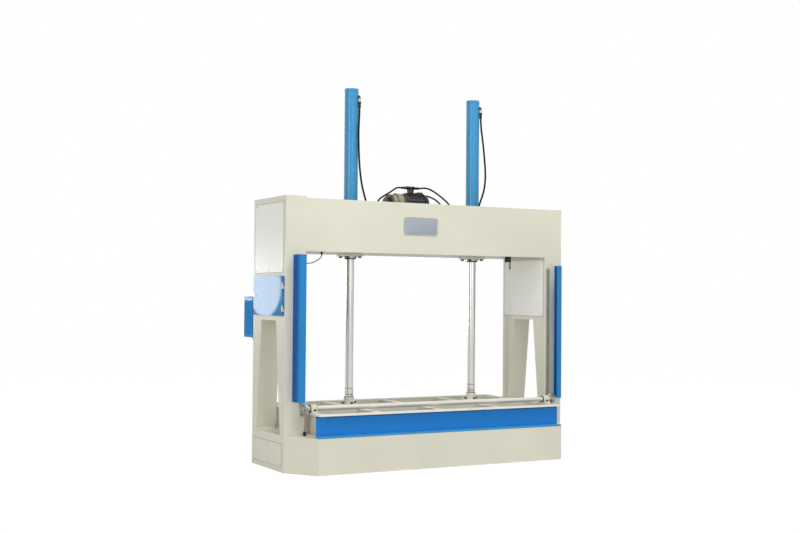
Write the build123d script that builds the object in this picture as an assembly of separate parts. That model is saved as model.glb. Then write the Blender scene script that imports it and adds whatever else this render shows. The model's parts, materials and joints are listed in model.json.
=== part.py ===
from build123d import *
import math
import os

# Hydraulic cold press for laminating panels, in millimetres.
# X runs along the platen, -Y is the front and +Z is up. The origin is on the floor, at the centre.

# Shared clearances
overrun = 2.0
running_gap = 0.3
pin_gap = 0.06
rest_gap = 0.5

# Portal frame
frame_width = 2900.0
frame_height = 2362.0
column_width = 190.0
column_depth = 720.0
beam_height = 462.0
beam_plate = 12.0
base_depth = 1300.0
base_height = 310.0
cap_height = 16.0

# Column windows: a tapered hole through each column
window_sill = 315.0
window_top = 1298.0
window_sill_half = 272.0
window_top_half = 166.0
window_corner = 14.0

# Screwed covers on the columns
cover_sheet = 3.0
cover_half = 315.0
upper_cover_low = 1715.0
upper_cover_drop = 37.0
base_cover_low = 47.0
base_cover_high = 242.0
inner_cover_low = 1335.0
inner_cover_drop = 20.0
inner_cover_half = 335.0

# Electrical cabinet in the left column
door_low = 1340.0
door_high = 1683.0
door_front = -339.0
door_rear = 315.0
door_depth = 20.0
door_sheet = 2.0
door_gap = 1.0
door_corner = 6.0
recess_margin = 28.0
recess_depth = 150.0
back_plate = 3.0
back_plate_margin = 15.0
contactor_width = 45.0
contactor_height = 80.0
contactor_depth = 70.0
contactor_step = 62.0
contactor_lip = 12.0
terminal_width = 330.0
terminal_height = 32.0
terminal_depth = 40.0
terminal_slot = 6.0
terminal_count = 12

# Lift-off hinges of the cabinet door
hinge_radius = 7.0
hinge_pin_radius = 4.0
hinge_knuckle = 26.0
hinge_edge_gap = 9.0
hinge_block = 8.0
hinge_heights = (1402.0, 1598.0)

# Control box behind the left column
box_width = 120.0
box_depth = 205.0
box_low = 1130.0
box_high = 1502.0
box_corner = 6.0
box_inset = 8.0
neck_length = 42.0
neck_width = 70.0
neck_inset = 50.0
button_radius = 13.0
button_stem_radius = 8.0
button_stem = 18.0
button_proud = 12.0
button_travel = 5.0
stop_radius = 21.0
stop_proud = 24.0
bezel_radius = 18.0
bezel_height = 4.0
button_low_share = 0.25
button_step_share = 0.25

# Platen: rolled channels round a box spine and cross members
platen_side_gap = 10.0
platen_height = 200.0
channel_flange = 75.0
channel_flange_thick = 15.0
channel_web = 9.0
spine_width = 340.0
spine_wall = 10.0
spine_drop = 5.0
member_width = 70.0
member_wall = 8.0
pressing_plate = 16.0
member_shares = (-0.25, 0.0, 0.25)
stroke = 1150.0

# Cylinders and rods
cylinder_spacing = 1310.0
barrel_outer = 127.0
barrel_wall = 11.0
cylinder_rise = 1048.0
cap_thick = 22.0
rod_diameter = 75.0
piston_length = 70.0
piston_gap = 12.0
flange_side = 190.0
flange_thick = 25.0
flange_corner = 12.0
flange_bolt_half = 66.0
gland_length = 90.0
gland_lip = 16.0
gland_lip_width = 8.0
bolt_radius = 11.0
bolt_head = 13.0
foot_radius = 80.0
foot_thick = 28.0
hub_radius = 47.0
hub_height = 86.0
hub_chamfer = 4.0
foot_bolt_circle = 62.0
foot_bolt_radius = 12.0
foot_bolt_head = 14.0
ring_height = 22.0
ring_wall = 3.0
ring_lift = 40.0

# Oil elbows at the cylinder tops
elbow_below_top = 73.0
elbow_out_x = 51.0
elbow_out_y = -61.0
elbow_radius = 9.0
elbow_seat = 8.0
elbow_drop = 47.0
ferrule_radius = 13.0
ferrule_length = 30.0

# Rack and pinion that keep the two ends of the platen level
gear_module = 5.0
pinion_teeth = 20
pinion_face = 30.0
pinion_hub_radius = 32.0
pinion_hub = 10.0
tooth_backlash = 0.9
root_clearance_share = 0.25
pressure_angle = 20.0
shaft_diameter = 42.0
shaft_height = 38.0
shaft_end = 6.0
rack_face = 26.0
rack_back = 20.0
rack_below = 4
rack_above = 5
pinion_inset = 28.0
flank_shares = (0, 0.34, 0.67, 1)

# Bearing blocks for the synchronising shaft
block_width = 56.0
block_depth = 120.0
block_base = 18.0
block_radius = 36.0
block_inset = 10.0
block_bolt_half = 46.0
block_bolt_radius = 10.0
block_bolt_head = 13.0

# Folded guards over the racks
guard_width = 62.0
guard_depth = 140.0
guard_sheet = 3.0
guard_fold = 38.0
guard_return = 16.0
guard_reach = 116.0
guard_length = 1262.0
guard_left_low = 605.0
guard_right_low = 558.0
guard_screw_radius = 6.0
guard_screw_head = 3.0
guard_screw_shares = (0.14, 0.86)
guard_screw_depth_share = 0.28

# Limit switches
switch_width = 46.0
switch_depth = 80.0
switch_height = 60.0
switch_drop = 130.0
switch_inset = 50.0
trip_inset = 388.0
trip_y = -300.0
trip_width = 38.0
trip_depth = 46.0
trip_height = 52.0
lever_width = 8.0
lever_length = 84.0
lever_radius = 4.0
lever_boss = 10.0
lever_roller = 9.0

# Power pack in the open top of the beam
tank_length = 710.0
tank_depth = 400.0
tank_height = 300.0
tank_centre_x = -25.0
tank_wall_lid = 8.0
tank_lid_lap = 12.0
tank_corner = 10.0
motor_axis_lift = 168.0
motor_radius = 104.0
motor_bore = 62.0
motor_left = -95.0
motor_right = 84.0
fin_count = 22
fin_height = 9.0
fin_thick = 5.0
band_left = -200.0
band_radius = 98.0
band_wall = 10.0
band_rim = 10.0
pump_left = -301.0
pump_radius = 84.0
pump_nose = 30.0
cowl_right = 128.0
cowl_radius = 108.0
cowl_end_radius = 84.0
cowl_wall = 4.0
cowl_vent_radius = 5.0
cowl_vent_count = 12
cowl_vent_share = 0.67
shield_thick = 14.0
rotor_radius = 61.0
rotor_length = 130.0
rotor_shaft_radius = 14.0
coupling_radius = 40.0
coupling_length = 50.0
fan_radius = 78.0
fan_thick = 3.0
fan_blade = 18.0
fan_blades = 7
fan_hub_radius = 24.0
motor_foot_width = 40.0
motor_foot_half = 90.0
motor_foot_thick = 20.0
motor_foot_web = 14.0
top_fitting_left = -68.0
top_fitting_right = 6.0
top_fitting_radius = 14.0
top_fitting_lift = 152.0
top_fitting_nut = 14.0
valve_left = -70.0
valve_right = 50.0
valve_front = 125.0
valve_depth = 90.0
valve_height = 150.0
pilot_left = -50.0
pilot_right = 20.0
pilot_margin = 10.0
pilot_height = 95.0
pilot_nose_radius = 12.0
riser_radius = 11.0
riser_run_lift = 148.0
riser_nut_radius = 15.0
riser_nut = 22.0

# Hoses and the switch cable
cylinder_hose = 18.0
pack_hose = 16.0
cable_diameter = 8.0
gland_radius = 10.0
arc_share = 0.45

# Places worked out from the sizes above
half_width = frame_width / 2
half_column = column_depth / 2
column_inner = half_width - column_width
beam_low = frame_height - beam_height
beam_floor = beam_low + beam_plate
upper_cover_high = frame_height - upper_cover_drop
inner_cover_high = beam_low - inner_cover_drop
cylinder_top = frame_height + cylinder_rise
tank_top = beam_floor + tank_height
motor_axis_height = tank_top + motor_axis_lift
top_fitting_height = motor_axis_height + top_fitting_lift
riser_run_height = beam_floor + riser_run_lift
trip_x = column_inner - trip_inset
cylinder_x = cylinder_spacing / 2
barrel_radius = barrel_outer / 2
bore_radius = barrel_radius - barrel_wall
rod_radius = rod_diameter / 2
platen_low = base_height + rest_gap
platen_top = platen_low + platen_height
half_length = column_inner - platen_side_gap
half_depth = base_depth / 2
pitch_radius = gear_module * pinion_teeth / 2
tooth_pitch = math.pi * gear_module
pinion_place = column_inner + pinion_inset
rack_pitch_y = -half_column - rack_back
shaft_y = rack_pitch_y - pitch_radius
shaft_z = platen_top + shaft_height
shaft_radius = shaft_diameter / 2
hinge_x = -half_width - door_gap - door_depth
hinge_y = door_front - hinge_edge_gap
elbow_z = cylinder_top - elbow_below_top
guard_outer = column_inner + guard_reach
switch_inner = column_inner + switch_inset
sides = (-1, 1)


# Routes of the free hoses, from the beam floor up, and of the cable, from the beam and column, by hand
left_hose_offsets = [
    (-604, -61, 1378), (-604, -61, 1258), (-616, -69, 1130), (-613, -69, 948), (-601, -68, 768),
    (-578, -67, 618), (-541, -71, 488), (-509, -76, 383), (-491, -80, 286), (-491, -80, 198),
]
right_hose_offsets = [
    (706, -61, 1378), (706, -61, 1265), (729, -69, 1097), (746, -75, 920), (755, -80, 771),
    (743, -80, 648), (716, -77, 560), (682, -79, 483), (656, -89, 398), (645, -96, 303),
    (645, -96, 208),
]
feed_hose_offsets = [
    (-455, -125, 378), (-455, -125, 438), (-430, -122, 488), (-375, -116, 524),
    (-310, -108, 558), (-246, -76, 593), (-190, -28, 616), (-130, 0, 620), (-68, 0, 620),
]
return_hose_offsets = [
    (6, 0, 620), (66, 0, 620), (134, 0, 631), (208, 0, 609), (290, 0, 562), (358, 0, 515),
    (414, 0, 466), (438, 0, 408), (438, 0, 338),
]
drain_hose_offsets = [
    (30, 170, 528), (90, 170, 528), (158, 168, 556), (232, 167, 572), (305, 166, 554),
    (370, 163, 518), (414, 160, 470), (426, 160, 410), (426, 160, 348),
]
cable_offsets = [
    (180, -296, -14), (180, -296, -35), (172, -301, -54), (154, -313, -71), (125, -332, -87),
    (86, -356, -98), (44, -381, -104), (2, -402, -106), (-40, -402, -106),
]
left_hose_route = [(x, y, beam_floor + z) for x, y, z in left_hose_offsets]
right_hose_route = [(x, y, beam_floor + z) for x, y, z in right_hose_offsets]
feed_hose_route = [(x, y, beam_floor + z) for x, y, z in feed_hose_offsets]
return_hose_route = [(x, y, beam_floor + z) for x, y, z in return_hose_offsets]
drain_hose_route = [(x, y, beam_floor + z) for x, y, z in drain_hose_offsets]
cable_route = [(x - column_inner, y, beam_low + z) for x, y, z in cable_offsets]
pack_ports = [
    (left_hose_route[-1], -1),
    (feed_hose_route[0], -1),
    (return_hose_route[-1], 1),
    (drain_hose_route[-1], 1),
    (right_hose_route[-1], 1),
]


def block(x_range, y_range, z_range):
    """A box between two corners."""
    sizes = [high - low for low, high in (x_range, y_range, z_range)]
    centre = [(high + low) / 2 for low, high in (x_range, y_range, z_range)]
    return Pos(*centre) * Box(*sizes)


def post(radius, low, high, x=0.0, y=0.0):
    """A round bar along Z."""
    return Pos(x, y, (low + high) / 2) * Cylinder(radius, high - low)


def bar_x(radius, left, right, y, z):
    """A round bar along X."""
    return Pos((left + right) / 2, y, z) * Rot(0, 90, 0) * Cylinder(radius, right - left)


def bar_y(radius, front, rear, x, z):
    """A round bar along Y."""
    return Pos(x, (front + rear) / 2, z) * Rot(90, 0, 0) * Cylinder(radius, rear - front)


def prism_x(points, left, right):
    """An outline of (y, z) points drawn out along X."""
    face = Plane.YZ.offset(left) * make_face(Polyline(*points, close=True))
    return extrude(face, amount=right - left)


def prism_y(points, front, rear):
    """An outline of (x, z) points drawn out along Y."""
    face = Plane.XZ.offset(-front) * make_face(Polyline(*points, close=True))
    return extrude(face, amount=front - rear)


def prism_z(points, low, high):
    """An outline of (x, y) points drawn up along Z."""
    face = Plane.XY.offset(low) * make_face(Polyline(*points, close=True))
    return extrude(face, amount=high - low)


def mirrored(shape):
    """The same piece at the other end of the press."""
    return mirror(shape, about=Plane.YZ)


def hose(name, route, diameter):
    """A round cord of straight runs joined by arcs as large as the runs allow."""
    points = [Vector(*point) for point in route]
    runs = [after - before for before, after in zip(points, points[1:])]
    radii = []
    for before, after in zip(runs, runs[1:]):
        half_turn = math.radians(before.get_angle(after)) / 2
        radii.append(arc_share * min(before.length, after.length) / math.tan(half_turn))
    path = FilletPolyline(*points, radius=radii)
    section = Plane(origin=path @ 0, z_dir=path % 0) * Circle(diameter / 2)
    tube = sweep(section, path=path)
    expected = math.pi * diameter ** 2 / 4 * path.length
    print(name, "length", round(path.length), "volume share", round(tube.volume / expected, 4))
    print(name, "radii", [round(radius) for radius in radii])
    return tube


# Portal frame

def base_outline():
    """Half outline of the base on the right, from front to rear, cut out for the column."""
    return [
        (half_length, -half_depth),
        (half_width, -half_column),
        (column_inner, -half_column),
        (column_inner, half_column),
        (half_width, half_column),
        (half_length, half_depth),
    ]


def base_frame():
    right = base_outline()
    left = [(-x, y) for x, y in reversed(right)]
    return prism_z(right + left, 0, base_height)


def column():
    """The right column: a closed box with a tapered window through it."""
    body = block((column_inner, half_width), (-half_column, half_column), (0, frame_height))
    window = [
        (-window_sill_half, window_sill),
        (window_sill_half, window_sill),
        (window_top_half, window_top),
        (-window_top_half, window_top),
    ]
    hole = prism_x(window, column_inner - overrun, half_width + overrun)
    hole = fillet(hole.edges().filter_by(Axis.X), window_corner)
    return body - hole


def cabinet_recess(depth):
    """The hollow behind the cabinet door."""
    return block(
        (-half_width - overrun, -half_width + depth),
        (door_front + recess_margin, door_rear - recess_margin),
        (door_low + recess_margin, door_high - recess_margin),
    )


def beam_front_plate():
    return block(
        (-column_inner, column_inner),
        (-half_column, -half_column + beam_plate),
        (beam_low, frame_height),
    )


def beam_floor_plate():
    """The plate that the cylinders pass through, with the holes of their flange bolts."""
    plate = block(
        (-column_inner, column_inner),
        (-half_column + beam_plate, half_column - beam_plate),
        (beam_low, beam_floor),
    )
    for side in sides:
        plate -= post(barrel_radius, beam_low - overrun, beam_floor + overrun, side * cylinder_x)
        for x, y in flange_bolt_places():
            plate -= post(bolt_radius, beam_low - overrun, beam_floor + overrun, side * cylinder_x + x, y)
    return plate


def column_cap():
    return block(
        (-half_width, -column_inner),
        (-half_column, half_column),
        (frame_height, frame_height + cap_height),
    )


def outer_cover(low, high):
    """A sheet cover on the right column's outer face."""
    return block((half_width, half_width + cover_sheet), (-cover_half, cover_half), (low, high))


def inner_cover():
    """A sheet cover on the right column's inner face, above the window."""
    return block(
        (column_inner - cover_sheet, column_inner),
        (-inner_cover_half, inner_cover_half),
        (inner_cover_low, inner_cover_high),
    )


# Electrical cabinet

def cabinet_door():
    """A folded tray, open towards the column."""
    outer = block(
        (hinge_x, hinge_x + door_depth),
        (door_front, door_rear),
        (door_low, door_high),
    )
    outer = fillet(outer.edges().filter_by(Axis.X), door_corner)
    inside = block(
        (hinge_x + door_sheet, hinge_x + door_depth + overrun),
        (door_front + door_sheet, door_rear - door_sheet),
        (door_low + door_sheet, door_high - door_sheet),
    )
    return outer - inside


def hinge_fixed(z):
    """Lower knuckle with its pin, on a block that stands on the column."""
    knuckle = post(hinge_radius, z - hinge_knuckle, z, hinge_x, hinge_y)
    foot = block(
        (hinge_x, -half_width),
        (hinge_y - hinge_block / 2, hinge_y + hinge_block / 2),
        (z - hinge_knuckle, z),
    )
    pin = post(hinge_pin_radius, z, z + hinge_knuckle - overrun, hinge_x, hinge_y)
    return knuckle + foot + pin


def hinge_leaf(z):
    """Upper knuckle on the door's edge, bored for the pin."""
    low = z + running_gap
    high = z + hinge_knuckle
    knuckle = post(hinge_radius, low, high, hinge_x, hinge_y)
    arm = block((hinge_x, hinge_x + hinge_block), (hinge_y, door_front), (low, high))
    bore = post(hinge_pin_radius + pin_gap, low - overrun, high - overrun + running_gap, hinge_x, hinge_y)
    return knuckle + arm - bore


def cabinet_back_plate():
    face = -half_width + recess_depth
    return block(
        (face - back_plate, face),
        (door_front + recess_margin + back_plate_margin, door_rear - recess_margin - back_plate_margin),
        (door_low + recess_margin + back_plate_margin, door_high - recess_margin - back_plate_margin),
    )


def contactors():
    """A row of contactors with a raised middle, on the back plate."""
    back = -half_width + recess_depth - back_plate
    middle = (door_front + door_rear) / 2
    high = door_high - recess_margin - 2 * back_plate_margin
    row = []
    for index in range(-1, 2):
        y = middle + index * contactor_step
        base = block(
            (back - contactor_depth + contactor_lip, back),
            (y - contactor_width / 2, y + contactor_width / 2),
            (high - contactor_height, high),
        )
        nose = block(
            (back - contactor_depth, back - contactor_depth + contactor_lip),
            (y - contactor_width / 2, y + contactor_width / 2),
            (high - contactor_height + contactor_lip, high - contactor_lip),
        )
        row.append(base + nose)
    return Compound(children=row)


def terminal_strip():
    """A slotted terminal strip below the contactors."""
    back = -half_width + recess_depth - back_plate
    middle = (door_front + door_rear) / 2
    low = door_low + recess_margin + 2 * back_plate_margin
    strip = block(
        (back - terminal_depth, back),
        (middle - terminal_width / 2, middle + terminal_width / 2),
        (low, low + terminal_height),
    )
    step = terminal_width / terminal_count
    for index in range(1, terminal_count):
        y = middle - terminal_width / 2 + index * step
        strip -= block(
            (back - terminal_depth - overrun, back - terminal_depth / 2),
            (y - terminal_slot / 2, y + terminal_slot / 2),
            (low - overrun, low + terminal_height + overrun),
        )
    return strip


# Control box

box_left = -half_width + box_inset
box_front = half_column + neck_length
box_rear = box_front + box_depth
button_x = box_left + box_width / 2


def button_height(index):
    return box_low + (box_high - box_low) * (button_low_share + index * button_step_share)


def control_box():
    """Closed box with three blind holes for the button stems."""
    body = block((box_left, box_left + box_width), (box_front, box_rear), (box_low, box_high))
    body = fillet(body.edges().filter_by(Axis.Y), box_corner)
    for index in range(3):
        body -= bar_y(
            button_stem_radius + running_gap,
            box_rear - button_stem - button_travel - overrun,
            box_rear + overrun,
            button_x,
            button_height(index),
        )
    return body


def control_box_neck():
    return block(
        (button_x - neck_width / 2, button_x + neck_width / 2),
        (half_column, box_front),
        (box_low + neck_inset, box_high - neck_inset),
    )


def button_bezels():
    rings = []
    for index in range(3):
        z = button_height(index)
        ring = bar_y(bezel_radius, box_rear, box_rear + bezel_height, button_x, z)
        ring -= bar_y(button_radius + running_gap, box_rear - overrun, box_rear + bezel_height + overrun,
                      button_x, z)
        rings.append(ring)
    return Compound(children=rings)


def push_button(index):
    """Round cap above its bezel, on a stem that enters the box."""
    z = button_height(index)
    cap_low = box_rear + button_travel + running_gap
    cap = bar_y(button_radius, cap_low, box_rear + button_proud, button_x, z)
    stem = bar_y(button_stem_radius, box_rear - button_stem, cap_low, button_x, z)
    return cap + stem


def stop_button(index):
    """Mushroom head on the same stem."""
    z = button_height(index)
    cap_low = box_rear + bezel_height + button_travel + running_gap
    cap = bar_y(stop_radius, cap_low, box_rear + stop_proud, button_x, z)
    cap = fillet(cap.edges().group_by(Axis.Y)[-1], (stop_proud - bezel_height - button_travel) / 2)
    stem = bar_y(button_stem_radius, box_rear - button_stem, cap_low, button_x, z)
    return cap + stem


# Platen

def channel_section(depth, web):
    """Channel outline: flanges point along the first axis, away from the web."""
    return [
        (0, platen_low),
        (depth, platen_low),
        (depth, platen_low + channel_flange_thick),
        (web, platen_low + channel_flange_thick),
        (web, platen_top - channel_flange_thick),
        (depth, platen_top - channel_flange_thick),
        (depth, platen_top),
        (0, platen_top),
    ]


def rear_channel():
    web_face = half_depth - channel_flange
    outline = [(web_face + d, z) for d, z in channel_section(channel_flange, channel_web)]
    return prism_x(outline, -half_length, half_length)


def right_channel():
    web_face = half_length - channel_flange
    outline = [(web_face + d, z) for d, z in channel_section(channel_flange, channel_web)]
    inner = half_depth - channel_flange
    return prism_y(outline, -inner, inner)


def pressing_plate_solid():
    inner_x = half_length - channel_flange
    inner_y = half_depth - channel_flange
    return block((-inner_x, inner_x), (-inner_y, inner_y), (platen_low, platen_low + pressing_plate))


def spine():
    """Box beam along the middle, which carries the rod feet."""
    inner_x = half_length - channel_flange
    half = spine_width / 2
    low = platen_low + pressing_plate
    body = block((-inner_x, inner_x), (-half, half), (low, platen_top))
    return body - block(
        (-inner_x - overrun, inner_x + overrun),
        (-half + spine_wall, half - spine_wall),
        (low + spine_wall, platen_top - spine_wall),
    )


def cross_members():
    """Short box members from the spine to the front and rear channels."""
    low = platen_low + pressing_plate
    high = platen_top - spine_drop
    inner_y = half_depth - channel_flange
    members = []
    for share in member_shares:
        x = share * 2 * half_length
        for side in sides:
            ends = sorted((side * spine_width / 2, side * inner_y))
            tube = block((x - member_width / 2, x + member_width / 2), ends, (low, high))
            tube -= block(
                (x - member_width / 2 + member_wall, x + member_width / 2 - member_wall),
                (ends[0] - overrun, ends[1] + overrun),
                (low + member_wall, high - member_wall),
            )
            members.append(tube)
    return Compound(children=members)


# Cylinders and rods

def elbow_place(side):
    """Axis of the oil elbow: on the cylinder's centre line, turned towards the hose."""
    turn = math.degrees(math.atan2(elbow_out_y, elbow_out_x))
    return Pos(side * cylinder_x, 0, elbow_z) * Rot(0, 0, turn)


def barrel():
    """Right cylinder barrel, closed by its welded cap and drilled for the oil elbow."""
    tube = post(barrel_radius, beam_low, cylinder_top, cylinder_x)
    tube -= post(bore_radius, beam_low - overrun, cylinder_top - cap_thick, cylinder_x)
    return tube - elbow_place(1) * bar_x(elbow_radius, 0, barrel_outer, 0, 0)


def flange_bolt_places():
    return [(x * flange_bolt_half, y * flange_bolt_half) for x in sides for y in sides]


def barrel_flange():
    """Square plate under the beam that holds the barrel up."""
    plate = block(
        (cylinder_x - flange_side / 2, cylinder_x + flange_side / 2),
        (-flange_side / 2, flange_side / 2),
        (beam_low - flange_thick, beam_low),
    )
    plate = chamfer(plate.edges().filter_by(Axis.Z), flange_corner)
    plate -= post(bore_radius, beam_low - flange_thick - overrun, beam_low + overrun, cylinder_x)
    for x, y in flange_bolt_places():
        plate -= post(bolt_radius, beam_low - flange_thick - overrun, beam_low + overrun, cylinder_x + x, y)
    return plate


def gland():
    """Rod gland: a sleeve in the barrel mouth with a lip below the flange."""
    low = beam_low - flange_thick
    sleeve = post(bore_radius, low, low + gland_length, cylinder_x)
    sleeve += post(bore_radius + gland_lip_width, low - gland_lip, low, cylinder_x)
    bore = rod_radius + running_gap
    return sleeve - post(bore, low - gland_lip - overrun, low + gland_length + overrun, cylinder_x)


def hex_head(radius, low, height, x, y):
    """Six-sided bolt head."""
    face = Plane.XY.offset(low) * Pos(x, y) * RegularPolygon(radius, 6)
    return extrude(face, amount=height)


def flange_bolts():
    """Bolts up through the flange and the beam floor, heads below."""
    low = beam_low - flange_thick
    bolts = []
    for side in sides:
        for x, y in flange_bolt_places():
            place = (side * cylinder_x + x, y)
            head = hex_head(bolt_radius + bolt_head / 2, low - bolt_head, bolt_head, *place)
            bolts.append(head + post(bolt_radius, low, beam_floor + bolt_head, *place))
    return Compound(children=bolts)


def rod():
    """Right rod with a turned collar above its foot."""
    collar_low = platen_top + hub_height + ring_lift
    collar = post(rod_radius + ring_wall, collar_low, collar_low + ring_height, cylinder_x)
    return post(rod_radius, platen_top, beam_floor + gland_length, cylinder_x) + collar


def piston():
    low = beam_floor + gland_length
    radius = bore_radius - running_gap
    disc = post(radius, low, low + piston_length, cylinder_x)
    groove = post(radius + overrun, low + piston_gap, low + 2 * piston_gap, cylinder_x)
    groove -= post(radius - piston_gap / 4, low, low + piston_length, cylinder_x)
    return disc - groove


def rod_foot():
    """Turned foot: a flange on the spine and a hub round the rod."""
    foot = post(foot_radius, platen_top, platen_top + foot_thick, cylinder_x)
    hub = post(hub_radius, platen_top + foot_thick, platen_top + hub_height, cylinder_x)
    hub = chamfer(hub.edges().group_by(Axis.Z)[-1], hub_chamfer)
    bore = post(rod_radius, platen_top - overrun, platen_top + hub_height + overrun, cylinder_x)
    return foot + hub - bore


def foot_bolts():
    """Four bolt heads on each rod foot."""
    low = platen_top + foot_thick
    bolts = []
    for side in sides:
        for turn in range(4):
            angle = turn * math.pi / 2
            x = side * cylinder_x + foot_bolt_circle * math.cos(angle)
            y = foot_bolt_circle * math.sin(angle)
            bolts.append(hex_head(foot_bolt_radius, low, foot_bolt_head, x, y))
    return bolts


def elbow(side):
    """Oil elbow: out of the barrel, then down to the hose ferrule."""
    reach = math.hypot(elbow_out_x, elbow_out_y)
    out = bar_x(elbow_radius, barrel_radius - elbow_seat, reach, 0, 0)
    corner = Pos(reach, 0, 0) * Sphere(elbow_radius)
    down = post(elbow_radius, -elbow_drop, 0, reach)
    ferrule = post(ferrule_radius, -elbow_drop, -elbow_drop + ferrule_length, reach)
    collar = bar_x(ferrule_radius, barrel_radius + overrun, barrel_radius + ferrule_radius, 0, 0)
    return elbow_place(side) * (out + corner + down + ferrule + collar)


# Rack and pinion

def rack():
    """Toothed bar on the right column's front face, in mesh with the pinion at rest."""
    addendum = gear_module
    dedendum = gear_module * (1 + root_clearance_share)
    slope = math.tan(math.radians(pressure_angle))
    half_tooth = tooth_pitch / 4 - tooth_backlash / 2
    count = int(stroke / tooth_pitch) + 1
    first = shaft_z + tooth_pitch / 2
    low = first - (rack_below + 1) * tooth_pitch
    high = first + (count + rack_above) * tooth_pitch
    tip = rack_pitch_y - addendum
    root = rack_pitch_y + dedendum
    outline = [(-half_column, low), (root, low)]
    for index in range(-rack_below, count + rack_above):
        centre = first + index * tooth_pitch
        outline += [
            (root, centre - half_tooth - dedendum * slope),
            (tip, centre - half_tooth + addendum * slope),
            (tip, centre + half_tooth - addendum * slope),
            (root, centre + half_tooth + dedendum * slope),
        ]
    outline += [(root, high), (-half_column, high)]
    return prism_x(outline, pinion_place - rack_face / 2, pinion_place + rack_face / 2)


def pinion_outline():
    """Involute teeth, with one tooth pointing at the rack."""
    base_radius = pitch_radius * math.cos(math.radians(pressure_angle))
    tip_radius = pitch_radius + gear_module
    root_radius = pitch_radius - gear_module * (1 + root_clearance_share)
    roll_pitch = math.tan(math.radians(pressure_angle)) - math.radians(pressure_angle)
    half_angle = (tooth_pitch / 4 - tooth_backlash / 2) / pitch_radius
    flank = []
    for share in flank_shares:
        radius = base_radius + share * (tip_radius - base_radius)
        roll = math.acos(base_radius / radius)
        flank.append((radius, half_angle + roll_pitch - (math.tan(roll) - roll)))
    points = []
    for tooth in range(pinion_teeth):
        centre = 2 * math.pi * tooth / pinion_teeth
        left = [(root_radius, flank[0][1])] + flank
        polar = [(r, centre - a) for r, a in left] + [(r, centre + a) for r, a in reversed(left)]
        points += [(shaft_y + r * math.cos(a), shaft_z + r * math.sin(a)) for r, a in polar]
    return points


def pinion():
    """Right pinion, bored for the shaft."""
    left = pinion_place - pinion_face / 2
    right = pinion_place + pinion_face / 2
    gear = prism_x(pinion_outline(), left, right)
    gear += bar_x(pinion_hub_radius, left - pinion_hub, left, shaft_y, shaft_z)
    return gear - bar_x(shaft_radius, left - pinion_hub - overrun, right + overrun, shaft_y, shaft_z)


def sync_shaft():
    end = pinion_place + pinion_face / 2 + shaft_end
    return bar_x(shaft_radius, -end, end, shaft_y, shaft_z)


def bearing_block():
    """Pillow block at the right end of the platen."""
    right = half_length - block_inset
    left = right - block_width
    base = block(
        (left, right),
        (shaft_y - block_depth / 2, shaft_y + block_depth / 2),
        (platen_top, platen_top + block_base),
    )
    dome = bar_x(block_radius, left, right, shaft_y, shaft_z)
    cheek = block((left, right), (shaft_y - block_radius, shaft_y + block_radius), (platen_top, shaft_z))
    dome &= block(
        (left, right),
        (shaft_y - block_radius, shaft_y + block_radius),
        (shaft_z, shaft_z + block_radius),
    )
    body = base + cheek + dome
    return body - bar_x(shaft_radius + pin_gap, left - overrun, right + overrun, shaft_y, shaft_z)


def block_bolts():
    middle = half_length - block_inset - block_width / 2
    low = platen_top + block_base
    bolts = []
    for side in sides:
        for end in sides:
            place = (side * middle, shaft_y + end * block_bolt_half)
            bolts.append(hex_head(block_bolt_radius, low, block_bolt_head, *place))
    return bolts


# Guards and switches

def guard(low):
    """Right guard: a folded sheet round the rack, open towards the platen."""
    outer = guard_outer
    front = -half_column - guard_depth
    inner = outer - guard_width
    outline = [
        (outer, -half_column),
        (outer, front),
        (inner, front),
        (inner, front + guard_return),
        (inner + guard_sheet, front + guard_return),
        (inner + guard_sheet, front + guard_sheet),
        (outer - guard_sheet, front + guard_sheet),
        (outer - guard_sheet, -half_column),
    ]
    face = Plane.XY.offset(low) * make_face(Polyline(*outline, close=True))
    folds = face.vertices().sort_by_distance(Vector(outer, front, low))
    face = fillet(folds[0], guard_fold)
    folds = face.vertices().sort_by_distance(Vector(outer - guard_sheet, front + guard_sheet, low))
    face = fillet(folds[0], guard_fold - guard_sheet)
    return extrude(face, amount=guard_length)


def guard_screws():
    screws = []
    y = -half_column - guard_depth * guard_screw_depth_share
    for side, low in ((-1, guard_left_low), (1, guard_right_low)):
        for share in guard_screw_shares:
            z = low + guard_length * share
            ends = sorted((side * guard_outer, side * (guard_outer + guard_screw_head)))
            screws.append(bar_x(guard_screw_radius, ends[0], ends[1], y, z))
    return Compound(children=screws)


def top_switch():
    """Switch behind the left guard, on the column's front face."""
    return block(
        (-switch_inner - switch_width, -switch_inner),
        (-half_column - switch_depth, -half_column),
        (beam_low - switch_drop, beam_low - switch_drop + switch_height),
    )


def trip_switch():
    """Switch under the beam, with a boss for its lever."""
    body = block(
        (trip_x - trip_width / 2, trip_x + trip_width / 2),
        (trip_y - trip_depth / 2, trip_y + trip_depth / 2),
        (beam_low - trip_height, beam_low),
    )
    side = trip_x + trip_width / 2
    boss = bar_x(lever_radius, side, side + lever_width + overrun, trip_y, beam_low - trip_height / 2)
    return body + boss


def trip_lever():
    """Lever that hangs from the switch, with a round tip."""
    left = trip_x + trip_width / 2 + running_gap
    right = left + lever_width
    z = beam_low - trip_height / 2
    tip = z - lever_length
    arm = block((left, right), (trip_y - lever_radius, trip_y + lever_radius), (tip, z))
    eye = bar_x(lever_boss, left, right, trip_y, z)
    roller = bar_x(lever_roller, left, right, trip_y, tip)
    bore = bar_x(lever_radius + pin_gap, left - overrun, right + overrun, trip_y, z)
    return arm + eye + roller - bore


def cable_glands():
    """Glands at the two ends of the switch cable."""
    start = cable_route[0]
    finish = cable_route[-1]
    upper = post(gland_radius, start[2], beam_low, start[0], start[1])
    lower = bar_x(gland_radius, -switch_inner, finish[0], finish[1], finish[2])
    return Compound(children=[upper, lower])


# Power pack

tank_left = tank_centre_x - tank_length / 2
tank_right = tank_centre_x + tank_length / 2


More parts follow.
